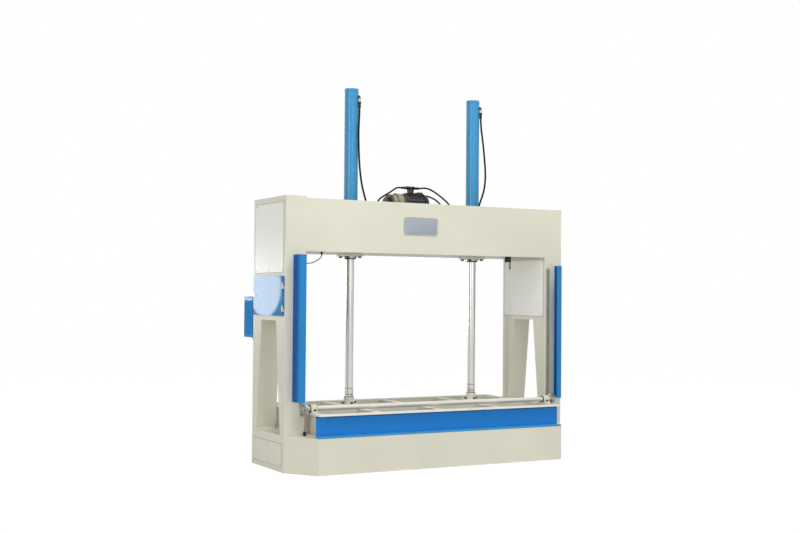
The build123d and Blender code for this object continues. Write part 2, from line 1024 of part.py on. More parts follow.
def oil_tank():
    """Closed tank with a lid that laps its sides."""
    half = tank_depth / 2
    body = block((tank_left, tank_right), (-half, half), (beam_floor, tank_top - tank_wall_lid))
    body = fillet(body.edges().filter_by(Axis.Z), tank_corner)
    lid = block(
        (tank_left - tank_lid_lap, tank_right + tank_lid_lap),
        (-half - tank_lid_lap, half + tank_lid_lap),
        (tank_top - tank_wall_lid, tank_top),
    )
    return body + lid


def motor_stator():
    """Finned stator on two feet, bored for the rotor."""
    body = bar_x(motor_radius - fin_height, motor_left, motor_right, 0, motor_axis_height)
    for index in range(fin_count):
        turn = 360 * (index + 0.5) / fin_count
        fin = block(
            (motor_left, motor_right),
            (-fin_thick / 2, fin_thick / 2),
            (motor_radius - 2 * fin_height, motor_radius),
        )
        body += Pos(0, 0, motor_axis_height) * Rot(turn, 0, 0) * fin
    middle = (motor_left + motor_right) / 2
    foot_inner = motor_foot_half - motor_foot_width
    for side in sides:
        foot = block(
            (middle - motor_foot_width, middle + motor_foot_width),
            sorted((side * motor_foot_half, side * foot_inner)),
            (tank_top, tank_top + motor_foot_thick),
        )
        web = block(
            (middle - motor_foot_width, middle + motor_foot_width),
            sorted((side * foot_inner, side * (foot_inner + motor_foot_web))),
            (tank_top, motor_axis_height - motor_bore),
        )
        body += foot + web
    return body - bar_x(motor_bore, motor_left - overrun, motor_right + overrun, 0, motor_axis_height)


def bell_housing():
    """Flanged sleeve round the coupling, with the end shield that carries the motor shaft."""
    z = motor_axis_height
    inner = band_radius - band_rim / 2 - band_wall
    shield_left = motor_left - shield_thick
    sleeve = bar_x(band_radius - band_rim / 2, band_left, motor_left, 0, z)
    for left in (band_left, motor_left - band_rim):
        sleeve += bar_x(band_radius, left, left + band_rim, 0, z)
    sleeve -= bar_x(inner, band_left - overrun, shield_left, 0, z)
    return sleeve - bar_x(rotor_shaft_radius + pin_gap, shield_left - overrun, motor_left + overrun, 0, z)


def oil_pump():
    """Stepped pump body on the bell housing, with a foot pipe into the tank."""
    right = band_left
    body = bar_x(pump_radius, pump_left + pump_nose, right, 0, motor_axis_height)
    body += bar_x(pump_radius - pump_nose, pump_left, pump_left + pump_nose, 0, motor_axis_height)
    pipe_x = (pump_left + pump_nose + right) / 2
    pipe = post(riser_nut_radius, tank_top, motor_axis_height, pipe_x)
    return body + pipe


def fan_cowl():
    """Tapered cover over the fan, with a ring of vents in its end."""
    outline = [
        (motor_right, cowl_radius),
        (cowl_right, cowl_end_radius),
        (cowl_right, 0),
        (cowl_right - cowl_wall, 0),
        (cowl_right - cowl_wall, cowl_end_radius - cowl_wall),
        (motor_right, cowl_radius - cowl_wall),
    ]
    cowl = revolve(Plane.XZ * make_face(Polyline(*outline, close=True)), Axis.X)
    for index in range(cowl_vent_count):
        angle = 2 * math.pi * index / cowl_vent_count
        place = cowl_end_radius * cowl_vent_share
        cowl -= bar_x(
            cowl_vent_radius,
            cowl_right - cowl_wall - overrun,
            cowl_right + overrun,
            place * math.cos(angle),
            place * math.sin(angle),
        )
    return Pos(0, 0, motor_axis_height) * cowl


def motor_rotor():
    """Shaft with its core, the coupling half and the fan, in one turning piece."""
    middle = (motor_left + motor_right) / 2
    z = motor_axis_height
    coupling_right = motor_left - shield_thick - overrun
    fan_left = motor_right + overrun
    shaft = bar_x(rotor_shaft_radius, coupling_right - coupling_length, fan_left + fan_blade, 0, z)
    core = bar_x(rotor_radius, middle - rotor_length / 2, middle + rotor_length / 2, 0, z)
    hub = bar_x(coupling_radius, coupling_right - coupling_length, coupling_right, 0, z)
    fan = bar_x(fan_radius, fan_left, fan_left + fan_thick, 0, z)
    fan += bar_x(fan_hub_radius, fan_left, fan_left + fan_blade, 0, z)
    for index in range(fan_blades):
        blade = block(
            (fan_left, fan_left + fan_blade),
            (-fan_thick / 2, fan_thick / 2),
            (fan_hub_radius - fan_thick, fan_radius),
        )
        fan += Pos(0, 0, z) * Rot(360 * index / fan_blades, 0, 0) * blade
    return shaft + core + hub + fan


def top_fitting():
    """Hose junction on a stem that stands on the stator."""
    z = top_fitting_height
    middle = (top_fitting_left + top_fitting_right) / 2
    body = bar_x(top_fitting_radius, top_fitting_left, top_fitting_right, 0, z)
    for left in (top_fitting_left, top_fitting_right - top_fitting_nut):
        body += bar_x(top_fitting_radius + top_fitting_nut / 4, left, left + top_fitting_nut, 0, z)
    stem = post(top_fitting_radius, motor_axis_height + motor_radius, z, middle)
    return body + stem


def valve_block():
    """Manifold on the tank lid, with a pilot valve on top."""
    rear = valve_front + valve_depth
    low = tank_top
    body = block((valve_left, valve_right), (valve_front, rear), (low, low + valve_height))
    pilot = block(
        (pilot_left, pilot_right),
        (valve_front + pilot_margin, rear - pilot_margin),
        (low + valve_height, low + valve_height + pilot_height),
    )
    start = drain_hose_route[0]
    nose = bar_x(pilot_nose_radius, pilot_right, start[0], start[1], start[2])
    return body + pilot + nose


def oil_risers():
    """Pipes from the tank's ends up to the hoses."""
    pipes = []
    for (x, y, z), side in pack_ports:
        wall = tank_right if side > 0 else tank_left
        ends = sorted((wall, x))
        run = bar_x(riser_radius, ends[0], ends[1], y, riser_run_height)
        corner = Pos(x, y, riser_run_height) * Sphere(riser_radius)
        rise = post(riser_radius, riser_run_height, z, x, y)
        nut = hex_head(riser_nut_radius, z - riser_nut, riser_nut, x, y)
        pipes.append(run + corner + rise + nut)
    return Compound(children=pipes)


# The named pieces

def both(shape):
    """A piece and its mirror image at the other end, as two solids."""
    return Compound(children=[mirrored(shape), shape])


right_column = column()
right_barrel = barrel()
other_cylinder = Pos(-cylinder_spacing, 0, 0)
covers = [
    outer_cover(upper_cover_low, upper_cover_high),
    outer_cover(base_cover_low, base_cover_high),
    inner_cover(),
]

nodes = {
    "base_frame": base_frame(),
    "column_left": mirrored(right_column) - cabinet_recess(recess_depth),
    "column_right": right_column,
    "beam_front_plate": beam_front_plate(),
    "beam_rear_plate": mirror(beam_front_plate(), about=Plane.XZ),
    "beam_floor_plate": beam_floor_plate(),
    "column_cap": column_cap(),
    "column_covers": Compound(children=covers + [mirrored(cover) for cover in covers]),
    "cabinet_door": cabinet_door(),
    "cabinet_hinge_fixed": Compound(children=[hinge_fixed(z) for z in hinge_heights]),
    "cabinet_hinge_leaf": Compound(children=[hinge_leaf(z) for z in hinge_heights]),
    "cabinet_back_plate": cabinet_back_plate(),
    "contactors": contactors(),
    "terminal_strip": terminal_strip(),
    "control_box": control_box(),
    "control_box_neck": control_box_neck(),
    "button_bezels": button_bezels(),
    "down_button": push_button(0),
    "up_button": push_button(1),
    "stop_button": stop_button(2),
    "platen_front_channel": mirror(rear_channel(), about=Plane.XZ),
    "platen_rear_channel": rear_channel(),
    "platen_end_channels": both(right_channel()),
    "platen_spine": spine(),
    "platen_cross_members": cross_members(),
    "pressing_plate": pressing_plate_solid(),
    "barrels": Compound(children=[other_cylinder * right_barrel, right_barrel]),
    "barrel_flanges": both(barrel_flange()),
    "rod_glands": both(gland()),
    "flange_bolts": flange_bolts(),
    "rods": both(rod()),
    "pistons": both(piston()),
    "rod_feet": both(rod_foot()),
    "platen_bolts": Compound(children=foot_bolts() + block_bolts()),
    "cylinder_elbows": Compound(children=[elbow(side) for side in sides]),
    "racks": both(rack()),
    "pinions": both(pinion()),
    "sync_shaft": sync_shaft(),
    "bearing_blocks": both(bearing_block()),
    "guard_left": mirrored(guard(guard_left_low)),
    "guard_right": guard(guard_right_low),
    "guard_screws": guard_screws(),
    "limit_switches": Compound(children=[top_switch(), trip_switch()]),
    "trip_lever": trip_lever(),
    "cable_glands": cable_glands(),
    "oil_tank": oil_tank(),
    "motor_stator": motor_stator(),
    "motor_rotor": motor_rotor(),
    "bell_housing": bell_housing(),
    "oil_pump": oil_pump(),
    "fan_cowl": fan_cowl(),
    "top_fitting": top_fitting(),
    "valve_block": valve_block(),
    "oil_risers": oil_risers(),
}
cords = {
    "left_hose": (left_hose_route, cylinder_hose),
    "right_hose": (right_hose_route, cylinder_hose),
    "feed_hose": (feed_hose_route, pack_hose),
    "return_hose": (return_hose_route, pack_hose),
    "drain_hose": (drain_hose_route, pack_hose),
    "switch_cable": (cable_route, cable_diameter),
}
for name, (route, diameter) in cords.items():
    nodes[name] = hose(name, route, diameter)

os.makedirs("parts", exist_ok=True)
for name, shape in nodes.items():
    export_step(shape, f"parts/{name}.step")
print(len(nodes), "nodes")
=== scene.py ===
import json
import math

import bmesh
import bpy
from mathutils import Matrix, Vector


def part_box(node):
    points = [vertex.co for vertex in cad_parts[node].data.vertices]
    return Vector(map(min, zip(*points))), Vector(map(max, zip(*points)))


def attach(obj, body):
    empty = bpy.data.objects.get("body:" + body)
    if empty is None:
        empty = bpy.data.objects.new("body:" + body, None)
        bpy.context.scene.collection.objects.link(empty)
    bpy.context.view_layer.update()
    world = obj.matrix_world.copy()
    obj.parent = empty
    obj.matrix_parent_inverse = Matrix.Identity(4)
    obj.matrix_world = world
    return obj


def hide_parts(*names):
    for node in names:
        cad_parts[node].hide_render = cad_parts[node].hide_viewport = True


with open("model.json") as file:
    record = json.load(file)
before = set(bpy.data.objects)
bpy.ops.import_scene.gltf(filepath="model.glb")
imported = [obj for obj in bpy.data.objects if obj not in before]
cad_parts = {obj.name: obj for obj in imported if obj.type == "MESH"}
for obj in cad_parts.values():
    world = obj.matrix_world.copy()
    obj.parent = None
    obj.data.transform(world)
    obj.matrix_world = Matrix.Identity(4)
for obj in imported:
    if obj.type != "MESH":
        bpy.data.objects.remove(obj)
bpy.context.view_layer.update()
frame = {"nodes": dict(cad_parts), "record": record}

scene = bpy.context.scene
nodes = frame["nodes"]
sides = (-1, 1)
along_x = (1.0, 0.0, 0.0)
to_left = (-1.0, 0.0, 0.0)
to_front = (0.0, -1.0, 0.0)
upward = (0.0, 0.0, 1.0)
downward = (0.0, 0.0, -1.0)


# Camera, from the fit of the photograph

camera_place = Vector((-5.5706, -9.9199, 1.5273))
camera_yaw = math.radians(28.72)
camera_pitch = math.radians(1.35)
camera_roll = math.radians(0.48)
camera_lens = 54.50
sensor_width = 36.0


def make_camera():
    forward = Vector((
        math.sin(camera_yaw) * math.cos(camera_pitch),
        math.cos(camera_yaw) * math.cos(camera_pitch),
        math.sin(camera_pitch),
    ))
    level = Vector((math.cos(camera_yaw), -math.sin(camera_yaw), 0.0))
    upright = level.cross(forward)
    right = math.cos(camera_roll) * level + math.sin(camera_roll) * upright
    up = math.cos(camera_roll) * upright - math.sin(camera_roll) * level
    data = bpy.data.cameras.new("camera")
    data.lens = camera_lens
    data.sensor_width = sensor_width
    data.sensor_fit = "HORIZONTAL"
    camera = bpy.data.objects.new("camera", data)
    turn = Matrix((right, up, -forward)).transposed().to_4x4()
    camera.matrix_world = Matrix.Translation(camera_place) @ turn
    scene.collection.objects.link(camera)
    scene.camera = camera


make_camera()


# Materials: the shared patterns

class Finish:
    """A node material with the few patterns that the finishes here share."""

    # The places of the colour sockets in a mix node
    first_colour, second_colour, mixed_colour = 6, 7, 2
    edge_samples = 6
    edge_turn = 0.75
    sharp_line = 0.0003

    def __init__(self, name):
        self.material = bpy.data.materials.new(name)
        self.material.use_nodes = True
        self.tree = self.material.node_tree
        self.tree.nodes.clear()
        self.out = self.add("ShaderNodeOutputMaterial")
        self.shader = self.add("ShaderNodeBsdfPrincipled")
        self.place = self.add("ShaderNodeTexCoord").outputs["Object"]
        self.link(self.shader.outputs["BSDF"], self.out.inputs["Surface"])
        self.normal = None

    def add(self, kind):
        return self.tree.nodes.new(kind)

    def link(self, source, target):
        self.tree.links.new(source, target)

    def fix(self, **values):
        """Sets constant values on the shader's own sockets."""
        for socket, value in values.items():
            self.shader.inputs[socket.replace("_", " ")].default_value = value

    def noise(self, scale, detail, stretch=(1.0, 1.0, 1.0)):
        mapping = self.add("ShaderNodeMapping")
        mapping.inputs["Scale"].default_value = stretch
        self.link(self.place, mapping.inputs["Vector"])
        noise = self.add("ShaderNodeTexNoise")
        noise.inputs["Scale"].default_value = scale
        noise.inputs["Detail"].default_value = detail
        self.link(mapping.outputs["Vector"], noise.inputs["Vector"])
        return noise.outputs["Fac"]

    def spread(self, source, low=0.0, high=1.0, start=0.3, end=0.7):
        """Maps the span from start to end onto low to high."""
        span = self.add("ShaderNodeMapRange")
        span.inputs["From Min"].default_value = start
        span.inputs["From Max"].default_value = end
        span.inputs["To Min"].default_value = low
        span.inputs["To Max"].default_value = high
        self.link(source, span.inputs["Value"])
        return span.outputs["Result"]

    def blend(self, share, first, second):
        mix = self.add("ShaderNodeMix")
        mix.data_type = "RGBA"
        self.link(share, mix.inputs["Factor"])
        for index, colour in ((self.first_colour, first), (self.second_colour, second)):
            if isinstance(colour, tuple):
                mix.inputs[index].default_value = (*colour, 1.0)
            else:
                self.link(colour, mix.inputs[index])
        return mix.outputs[self.mixed_colour]

    def edges(self, radius, strength):
        """How near a point is to a sharp edge: 0 on flat faces."""
        bevel = self.add("ShaderNodeBevel")
        bevel.samples = self.edge_samples
        bevel.inputs["Radius"].default_value = radius
        normal = self.add("ShaderNodeNewGeometry").outputs["True Normal"]
        dot = self.add("ShaderNodeVectorMath")
        dot.operation = "DOT_PRODUCT"
        self.link(bevel.outputs["Normal"], dot.inputs[0])
        self.link(normal, dot.inputs[1])
        return self.spread(dot.outputs["Value"], strength, 0.0, self.edge_turn, 1.0)

    def past(self, axis, place, half=sharp_line):
        """1 past a place on one of the object's own axes, 0 before it."""
        split = self.add("ShaderNodeSeparateXYZ")
        self.link(self.place, split.inputs["Vector"])
        return self.spread(split.outputs[axis], start=place - half, end=place + half)

    def colour(self, socket):
        self.link(socket, self.shader.inputs["Base Color"])

    def rough(self, source, middle, below, above):
        span = self.spread(source, middle - below, middle + above)
        self.link(span, self.shader.inputs["Roughness"])

    def relief(self, source, distance):
        bump = self.add("ShaderNodeBump")
        bump.inputs["Distance"].default_value = distance
        self.link(source, bump.inputs["Height"])
        if self.normal:
            self.link(self.normal, bump.inputs["Normal"])
        self.normal = bump.outputs["Normal"]
        self.link(self.normal, self.shader.inputs["Normal"])


def shade(colour, share):
    return tuple(min(1.0, part * share) for part in colour)


panel_shares = (0.95, 1.04)
speck_share = 0.82
worn_edge_share = 1.15
moulding_shares = (0.85, 1.15)
rubbed_share = 1.3
rubbed_mix = (0.85, 0.02)
coat_haze = 0.08
panel_wave = 0.0014
orange_peel = 0.000008


def enamel(name, colour, rough, worn=None, coat=0.0, specular=0.5, changes=(), uneven=1.0):
    """Sprayed enamel on sheet steel: soft cloudiness, orange peel, slightly wavy panels.

    Each change is the colour that the surface has from a place on an axis on, and where that is: a second
    paint, painted light or painted shade.
    Uneven scales the waviness, the orange peel and the haze of the coat.
    """
    finish = Finish(name)
    cloud = finish.spread(finish.noise(scale=1.7, detail=4.0))
    base = finish.blend(cloud, *(shade(colour, share) for share in panel_shares))
    for next_colour, *where in changes:
        base = finish.blend(finish.past(*where), base, next_colour)
    speck = finish.spread(finish.noise(scale=160.0, detail=2.0), high=0.08, start=0.55, end=0.8)
    base = finish.blend(speck, base, shade(colour, speck_share))
    if worn:
        base = finish.blend(finish.edges(radius=0.003, strength=0.3), base, worn)
    finish.colour(base)
    finish.rough(finish.noise(scale=9.0, detail=5.0), rough, below=0.05, above=0.06)
    finish.fix(Coat_Weight=coat, Coat_Roughness=coat_haze * uneven, Specular_IOR_Level=specular)
    finish.relief(finish.noise(scale=2.6, detail=2.0), panel_wave * uneven)
    finish.relief(finish.noise(scale=420.0, detail=2.0), orange_peel * uneven)
    return finish.material


def metal(name, dark, light, rough, stretch, grain=90.0, depth=0.00004):
    """Bare or plated steel with tool marks that run across the stretched axis."""
    finish = Finish(name)
    marks = finish.noise(grain, detail=6.0, stretch=stretch)
    cloud = finish.spread(finish.noise(scale=4.0, detail=4.0), high=0.5)
    base = finish.blend(finish.spread(marks), dark, light)
    base = finish.blend(cloud, base, dark)
    worn = finish.edges(radius=0.002, strength=0.5)
    finish.colour(finish.blend(worn, base, shade(light, worn_edge_share)))
    finish.rough(marks, rough, below=0.06, above=0.08)
    finish.fix(Metallic=1.0)
    finish.relief(marks, depth)
    return finish.material


def plastic(name, colour, rough, grain=700.0, depth=0.00006, specular=0.5):
    """Moulded plastic or rubber with a fine spark-eroded skin."""
    finish = Finish(name)
    cloud = finish.spread(finish.noise(scale=6.0, detail=4.0))
    base = finish.blend(cloud, *(shade(colour, share) for share in moulding_shares))
    kept, added = rubbed_mix
    pale = tuple(kept * part + added for part in shade(colour, rubbed_share))
    finish.colour(finish.blend(finish.edges(radius=0.0015, strength=0.35), base, pale))
    finish.rough(finish.noise(scale=30.0, detail=4.0), rough, below=0.06, above=0.08)
    finish.fix(Specular_IOR_Level=specular)
    finish.relief(finish.noise(grain, detail=2.0), depth)
    return finish.material


def chrome(name, bright, smeared, rough):
    """A ground and chromed rod: fine rings from the grinding and a thin film of oil."""
    finish = Finish(name)
    rings = finish.noise(scale=60.0, detail=4.0, stretch=(1.0, 1.0, 14.0))
    smears = finish.noise(scale=5.0, detail=5.0, stretch=(1.0, 1.0, 0.35))
    film = finish.spread(smears, start=0.4, end=0.75)
    finish.colour(finish.blend(film, bright, smeared))
    finish.rough(rings, rough, below=0.04, above=0.06)
    finish.fix(Metallic=1.0)
    finish.relief(rings, distance=0.000006)
    return finish.material


# Materials: colours and finishes

cream_colour = (0.735, 0.715, 0.600)
cream_worn = (0.80, 0.79, 0.70)
# Painted light: the upper covers are paler than the cream, for the light that falls on them from the upper
# left.
lit_cover_colour = (0.86, 0.857, 0.795)
# Painted light: the shaft is a paler copy of the cream, raised against the beam's shadow on it.
lit_shaft_colour = (0.82, 0.80, 0.69)
# Painted shade: the racks are the grey of cream paint in the guards' shade.
shaded_rack_colour = (0.40, 0.40, 0.35)
blue_colour = (0.021, 0.252, 0.710)
blue_worn = (0.03, 0.30, 0.68)
guard_colour = (0.032, 0.240, 0.575)
# Painted shade: a darker blue for the guards' side flanges, standing in for the shade on them.
guard_flange_shade_colour = (0.003, 0.110, 0.410)
door_colour = (0.012, 0.215, 0.500)
box_colour = (0.014, 0.258, 0.640)
cylinder_colour = (0.030, 0.280, 0.550)
# Painted highlight: the channel's bottom flange is a paler teal, for the light that falls on its top.
lit_foot_colour = (0.06, 0.32, 0.58)
# Painted shadow: a dark navy band on the channel's web, under the overhang of its top flange.
under_flange_shadow_colour = (0.003, 0.060, 0.190)
# The channel's top flange is cream paint, made paler than the cream as a painted highlight along its lit
# edge.
top_cream_with_highlight = (0.84, 0.835, 0.76)
black_colour = (0.020, 0.020, 0.017)
black_worn = (0.05, 0.05, 0.042)
tan_colour = (0.300, 0.265, 0.165)
tan_worn = (0.42, 0.38, 0.27)
tank_colour = (0.25, 0.26, 0.26)
tank_worn = (0.4, 0.41, 0.41)
elbow_colour = (0.55, 0.55, 0.50)
elbow_worn = (0.6, 0.6, 0.55)
plate_colour = (0.32, 0.37, 0.41)
plate_worn = (0.4, 0.42, 0.46)
gasket_colour = (0.30, 0.29, 0.25)
# Painted shade: the beam's floor plate is the cream darkened, for the shade on the beam's underside.
floor_plate_shade_share = 0.72
turned_z = (1.0, 1.0, 9.0)
turned_x = (9.0, 1.0, 1.0)
drawn_z = (1.0, 1.0, 4.0)
plated = (1.0, 1.0, 1.0)

finishes = {
    "cream_paint": enamel("cream_enamel", cream_colour, rough=0.34, worn=cream_worn, specular=0.12),
    "blue_paint": enamel("blue_enamel", blue_colour, rough=0.30, worn=blue_worn, specular=0.12),
    "cylinder_blue": enamel(
        "cylinder_enamel", cylinder_colour, rough=0.30, coat=0.2, specular=0.4, uneven=0.2,
    ),
    "painted_shaft": enamel("shaft_enamel", lit_shaft_colour, rough=0.40, worn=cream_worn),
    "motor_black": enamel("motor_enamel", black_colour, rough=0.42, worn=black_worn),
    "motor_tan": enamel("band_enamel", tan_colour, rough=0.45, worn=tan_worn),
    "tank_grey": enamel("tank_enamel", tank_colour, rough=0.45, worn=tank_worn),
    "bright_chrome": chrome(
        "ground_chrome", bright=(0.64, 0.64, 0.615), smeared=(0.55, 0.55, 0.52), rough=0.20,
    ),
    "machined_steel": metal(
        "machined_steel", dark=(0.42, 0.42, 0.40), light=(0.60, 0.60, 0.58), rough=0.34, stretch=turned_z,
    ),
    "black_bolt": metal(
        "black_oxide", dark=(0.018, 0.018, 0.018), light=(0.045, 0.045, 0.043), rough=0.42, stretch=drawn_z,
    ),
    "rotor_steel": metal(
        "rotor_steel", dark=(0.32, 0.32, 0.31), light=(0.46, 0.46, 0.45), rough=0.38, stretch=turned_x,
    ),
    "valve_steel": metal(
        "zinc_plate", dark=(0.40, 0.40, 0.37), light=(0.58, 0.57, 0.52), rough=0.36, stretch=plated,
        grain=40.0,
    ),
    "black_plastic": plastic("black_moulding", colour=(0.012, 0.012, 0.013), rough=0.48, specular=0.3),
    "grey_plastic": plastic("grey_moulding", colour=(0.38, 0.38, 0.36), rough=0.50),
    "green_button": plastic("green_cap", colour=(0.03, 0.34, 0.08), rough=0.28),
    "black_button": plastic("black_cap", colour=(0.02, 0.02, 0.02), rough=0.28),
    "red_button": plastic("red_cap", colour=(0.58, 0.02, 0.02), rough=0.28),
    "hose_rubber": plastic(
        "hose_rubber", colour=(0.009, 0.009, 0.009), rough=0.60, grain=500.0, depth=0.00008, specular=0.12,
    ),
}


# Materials: nodes whose paint differs from their slot's, with the places where it changes; some of these
# colours are painted light and painted shade

channel_foot_top = 0.3256
# The channel's painted shadow band starts at the first height; the top flange starts at the second.
under_flange_shadow_band = (0.481, 0.4953)
flange_line = -0.466
flange_line_half = 0.020
upper_covers_from = 1.0
bell_band_end = -0.142
pump_band_start = -0.243
elbow_nut_end = 3.318

# The front channel: a painted highlight on its bottom flange, a painted shadow under its top flange, and a
# paler cream top flange as a painted highlight.
channel_enamel = enamel(
    "channel_enamel", lit_foot_colour, rough=0.30, specular=0.12, changes=(
        (blue_colour, "Z", channel_foot_top),
        (under_flange_shadow_colour, "Z", under_flange_shadow_band[0]),
        (top_cream_with_highlight, "Z", under_flange_shadow_band[1]),
    ),
)
# The guards' side flanges, behind the line, get the darker blue as painted shade.
guard_enamel = enamel(
    "guard_enamel", guard_colour, rough=0.30, worn=blue_worn, specular=0.05,
    changes=((guard_flange_shade_colour, "Y", flange_line, flange_line_half),),
)
door_enamel = enamel(
    "door_enamel", door_colour, rough=0.30, worn=blue_worn, coat=0.40, specular=0.0, uneven=0.45,
)
box_enamel = enamel(
    "box_enamel", box_colour, rough=0.34, worn=blue_worn, coat=0.12, specular=0.0, uneven=0.45,
)
# The column covers above the height get the paler colour as painted light.
cover_enamel = enamel(
    "cover_enamel", cream_colour, rough=0.34, worn=cream_worn, specular=0.2,
    changes=((lit_cover_colour, "Z", upper_covers_from),),
)
bell_enamel = enamel(
    "bell_enamel", tan_colour, rough=0.45, worn=black_worn, changes=((black_colour, "X", bell_band_end),),
)
pump_enamel = enamel(
    "pump_enamel", black_colour, rough=0.42, worn=black_worn, changes=((tan_colour, "X", pump_band_start),),
)
elbow_enamel = enamel(
    "elbow_enamel", elbow_colour, rough=0.35, worn=elbow_worn, changes=((black_colour, "Z", elbow_nut_end),),
)
# The racks get the grey as painted shade.
shaded_rack_enamel = enamel("shaded_rack_enamel", shaded_rack_colour, rough=0.45, specular=0.3)
# The beam's floor plate: darkened cream as painted shade.
shaded_floor_plate_enamel = enamel(
    "shaded_floor_plate_enamel", shade(cream_colour, floor_plate_shade_share), rough=0.45, worn=cream_worn,
)
gasket = plastic("seam_gasket", gasket_colour, rough=0.6)
plate_enamel = enamel("plate_enamel", plate_colour, rough=0.35, worn=plate_worn, coat=0.3)

node_finishes = {
    "platen_front_channel": channel_enamel,
    "column_covers": cover_enamel,
    "guard_left": guard_enamel,
    "guard_right": guard_enamel,
    "cabinet_door": door_enamel,
    "control_box": box_enamel,
    "guard_screws": finishes["black_bolt"],
    "racks": shaded_rack_enamel,
    "beam_floor_plate": shaded_floor_plate_enamel,
    "cylinder_elbows": elbow_enamel,
    "bell_housing": bell_enamel,
    "oil_pump": pump_enamel,
    "top_fitting": finishes["black_bolt"],
}

for subpart in frame["record"]["subparts"]:
    node_materials = nodes[subpart["node"]].data.materials
    node_materials.clear()
    plain = finishes[subpart["material_slot"]]
    node_materials.append(node_finishes.get(subpart["node"], plain))


# Broken edges on the folded and rolled plates

edge_widths = {
    "base_frame": 0.004, "control_box": 0.002, "control_box_neck": 0.002,
    "platen_front_channel": 0.002, "platen_rear_channel": 0.002, "platen_end_channels": 0.002,
    "platen_spine": 0.003, "platen_cross_members": 0.003, "bearing_blocks": 0.002, "barrel_flanges": 0.002,
    "oil_tank": 0.002, "valve_block": 0.002,
}
same_corner = 0.00001
edge_segments = 2
sharp_from = math.radians(40.0)


def break_edges(node, width):
    weld = nodes[node].modifiers.new("joined", "WELD")
    weld.merge_threshold = same_corner
    bevel = nodes[node].modifiers.new("broken_edges", "BEVEL")
    bevel.width = width
    bevel.segments = edge_segments
    bevel.limit_method = "ANGLE"
    bevel.angle_limit = sharp_from


for node_name, edge_width in edge_widths.items():
    break_edges(node_name, edge_width)


# Detail pieces: helpers

hexagon_shares = ((1.0, 0.0), (1.0, 0.8), (0.86, 1.0))
button_head_shares = ((1.0, 0.0), (1.0, 0.35), (0.85, 0.75), (0.55, 1.0), (0.42, 1.0), (0.38, 0.4))
bead_shares = (0.82, 1.0)
bead_end_share = 0.4
smooth_below = math.radians(35.0)
seam_width = 0.004
seam_rise = 0.0012
seam_edge = seam_rise / 4


def place_at(point, axis=upward):
    """A frame at a point whose Z is turned to an axis."""
    turn = Vector(upward).rotation_difference(Vector(axis)).to_matrix().to_4x4()
    return Matrix.Translation(Vector(point)) @ turn


def lathe(bm, profile, place, steps=24):
    """Turns (radius, height) points round the place's Z; an open profile gets flat ends."""
    closed = profile[0] == profile[-1]
    points = profile[:-1] if closed else profile
    rings = []
    for radius, height in points:
        corners = []
        for step in range(steps):
            angle = 2 * math.pi * step / steps
            corner = Vector((radius * math.cos(angle), radius * math.sin(angle), height))
            corners.append(bm.verts.new(place @ corner))
        rings.append(corners)
    pairs = list(zip(rings, rings[1:]))
    if closed:
        pairs.append((rings[-1], rings[0]))
    for lower, upper in pairs:
        for step in range(steps):
            after = (step + 1) % steps
            bm.faces.new((lower[step], lower[after], upper[after], upper[step]))
    if not closed:
        bm.faces.new(list(reversed(rings[0])))
        bm.faces.new(rings[-1])


def scaled(shares, radius, height):
    return tuple((radius * across, height * along) for across, along in shares)


def hexagon(bm, across, height, place):
    """A nut or bolt head with its corners taken off at the top."""
    lathe(bm, scaled(hexagon_shares, across / math.sqrt(3), height), place, steps=6)


def socket_screw(bm, radius, height, place):
    """A button head with a round socket in its top."""
    lathe(bm, scaled(button_head_shares, radius, height), place, steps=18)


def ring(bm, inner, outer, low, high, place, steps=32):
    """A round ring with broken edges."""
    edge = min(high - low, outer - inner) / 4
    lathe(bm, (
        (inner, low), (outer - edge, low), (outer, low + edge), (outer, high - edge),
        (outer - edge, high), (inner, high), (inner, low),
    ), place, steps)


def bead(bm, start, end, radius, pitch=0.006, fewest=4):
    """A weld bead: a low rounded strip whose ripples follow its length."""
    along = Vector(end) - Vector(start)
    count = max(fewest, int(along.length / pitch))
    profile = []
    for index in range(count + 1):
        share = bead_shares[index % 2] if 0 < index < count else bead_end_share
        profile.append((share * radius, along.length * index / count))
    lathe(bm, profile, place_at(start, along), steps=8)


def box(bm, low, high, edge):
    """A box with its edges broken, made apart so that its faces come in the same order each run."""
    low, high = Vector(low), Vector(high)
    size = high - low
    block = bmesh.new()
    bmesh.ops.create_cube(block, size=1.0)
    for vert in block.verts:
        vert.co = Vector((vert.co.x * size.x, vert.co.y * size.y, vert.co.z * size.z)) + (low + high) / 2
    bmesh.ops.bevel(block, geom=block.edges[:], offset=edge, segments=2, affect="EDGES", profile=0.5)
    copies = {vert: bm.verts.new(vert.co) for vert in block.verts}
    for face in block.faces:
        bm.faces.new([copies[vert] for vert in face.verts])
    block.free()


def strip(bm, x, out, corner, opposite, rise=seam_rise, edge=seam_edge):
    """A flat gasket strip on a face at x that looks along out, between two (y, z) corners."""
    x_low, x_high = sorted((x, x + out * rise))
    box(bm, (x_low, *corner), (x_high, *opposite), edge)


def seam(bm, x, out, corner, opposite, width=seam_width, rise=seam_rise, edge=seam_edge):
    """Four strips round a cover on a face at x, inside two outer (y, z) corners."""
    (y_low, z_low), (y_high, z_high) = corner, opposite
    strip(bm, x, out, (y_low, z_low), (y_low + width, z_high), rise, edge)
    strip(bm, x, out, (y_high - width, z_low), (y_high, z_high), rise, edge)
    strip(bm, x, out, (y_low + width, z_low), (y_high - width, z_low + width), rise, edge)
    strip(bm, x, out, (y_low + width, z_high - width), (y_high - width, z_high), rise, edge)


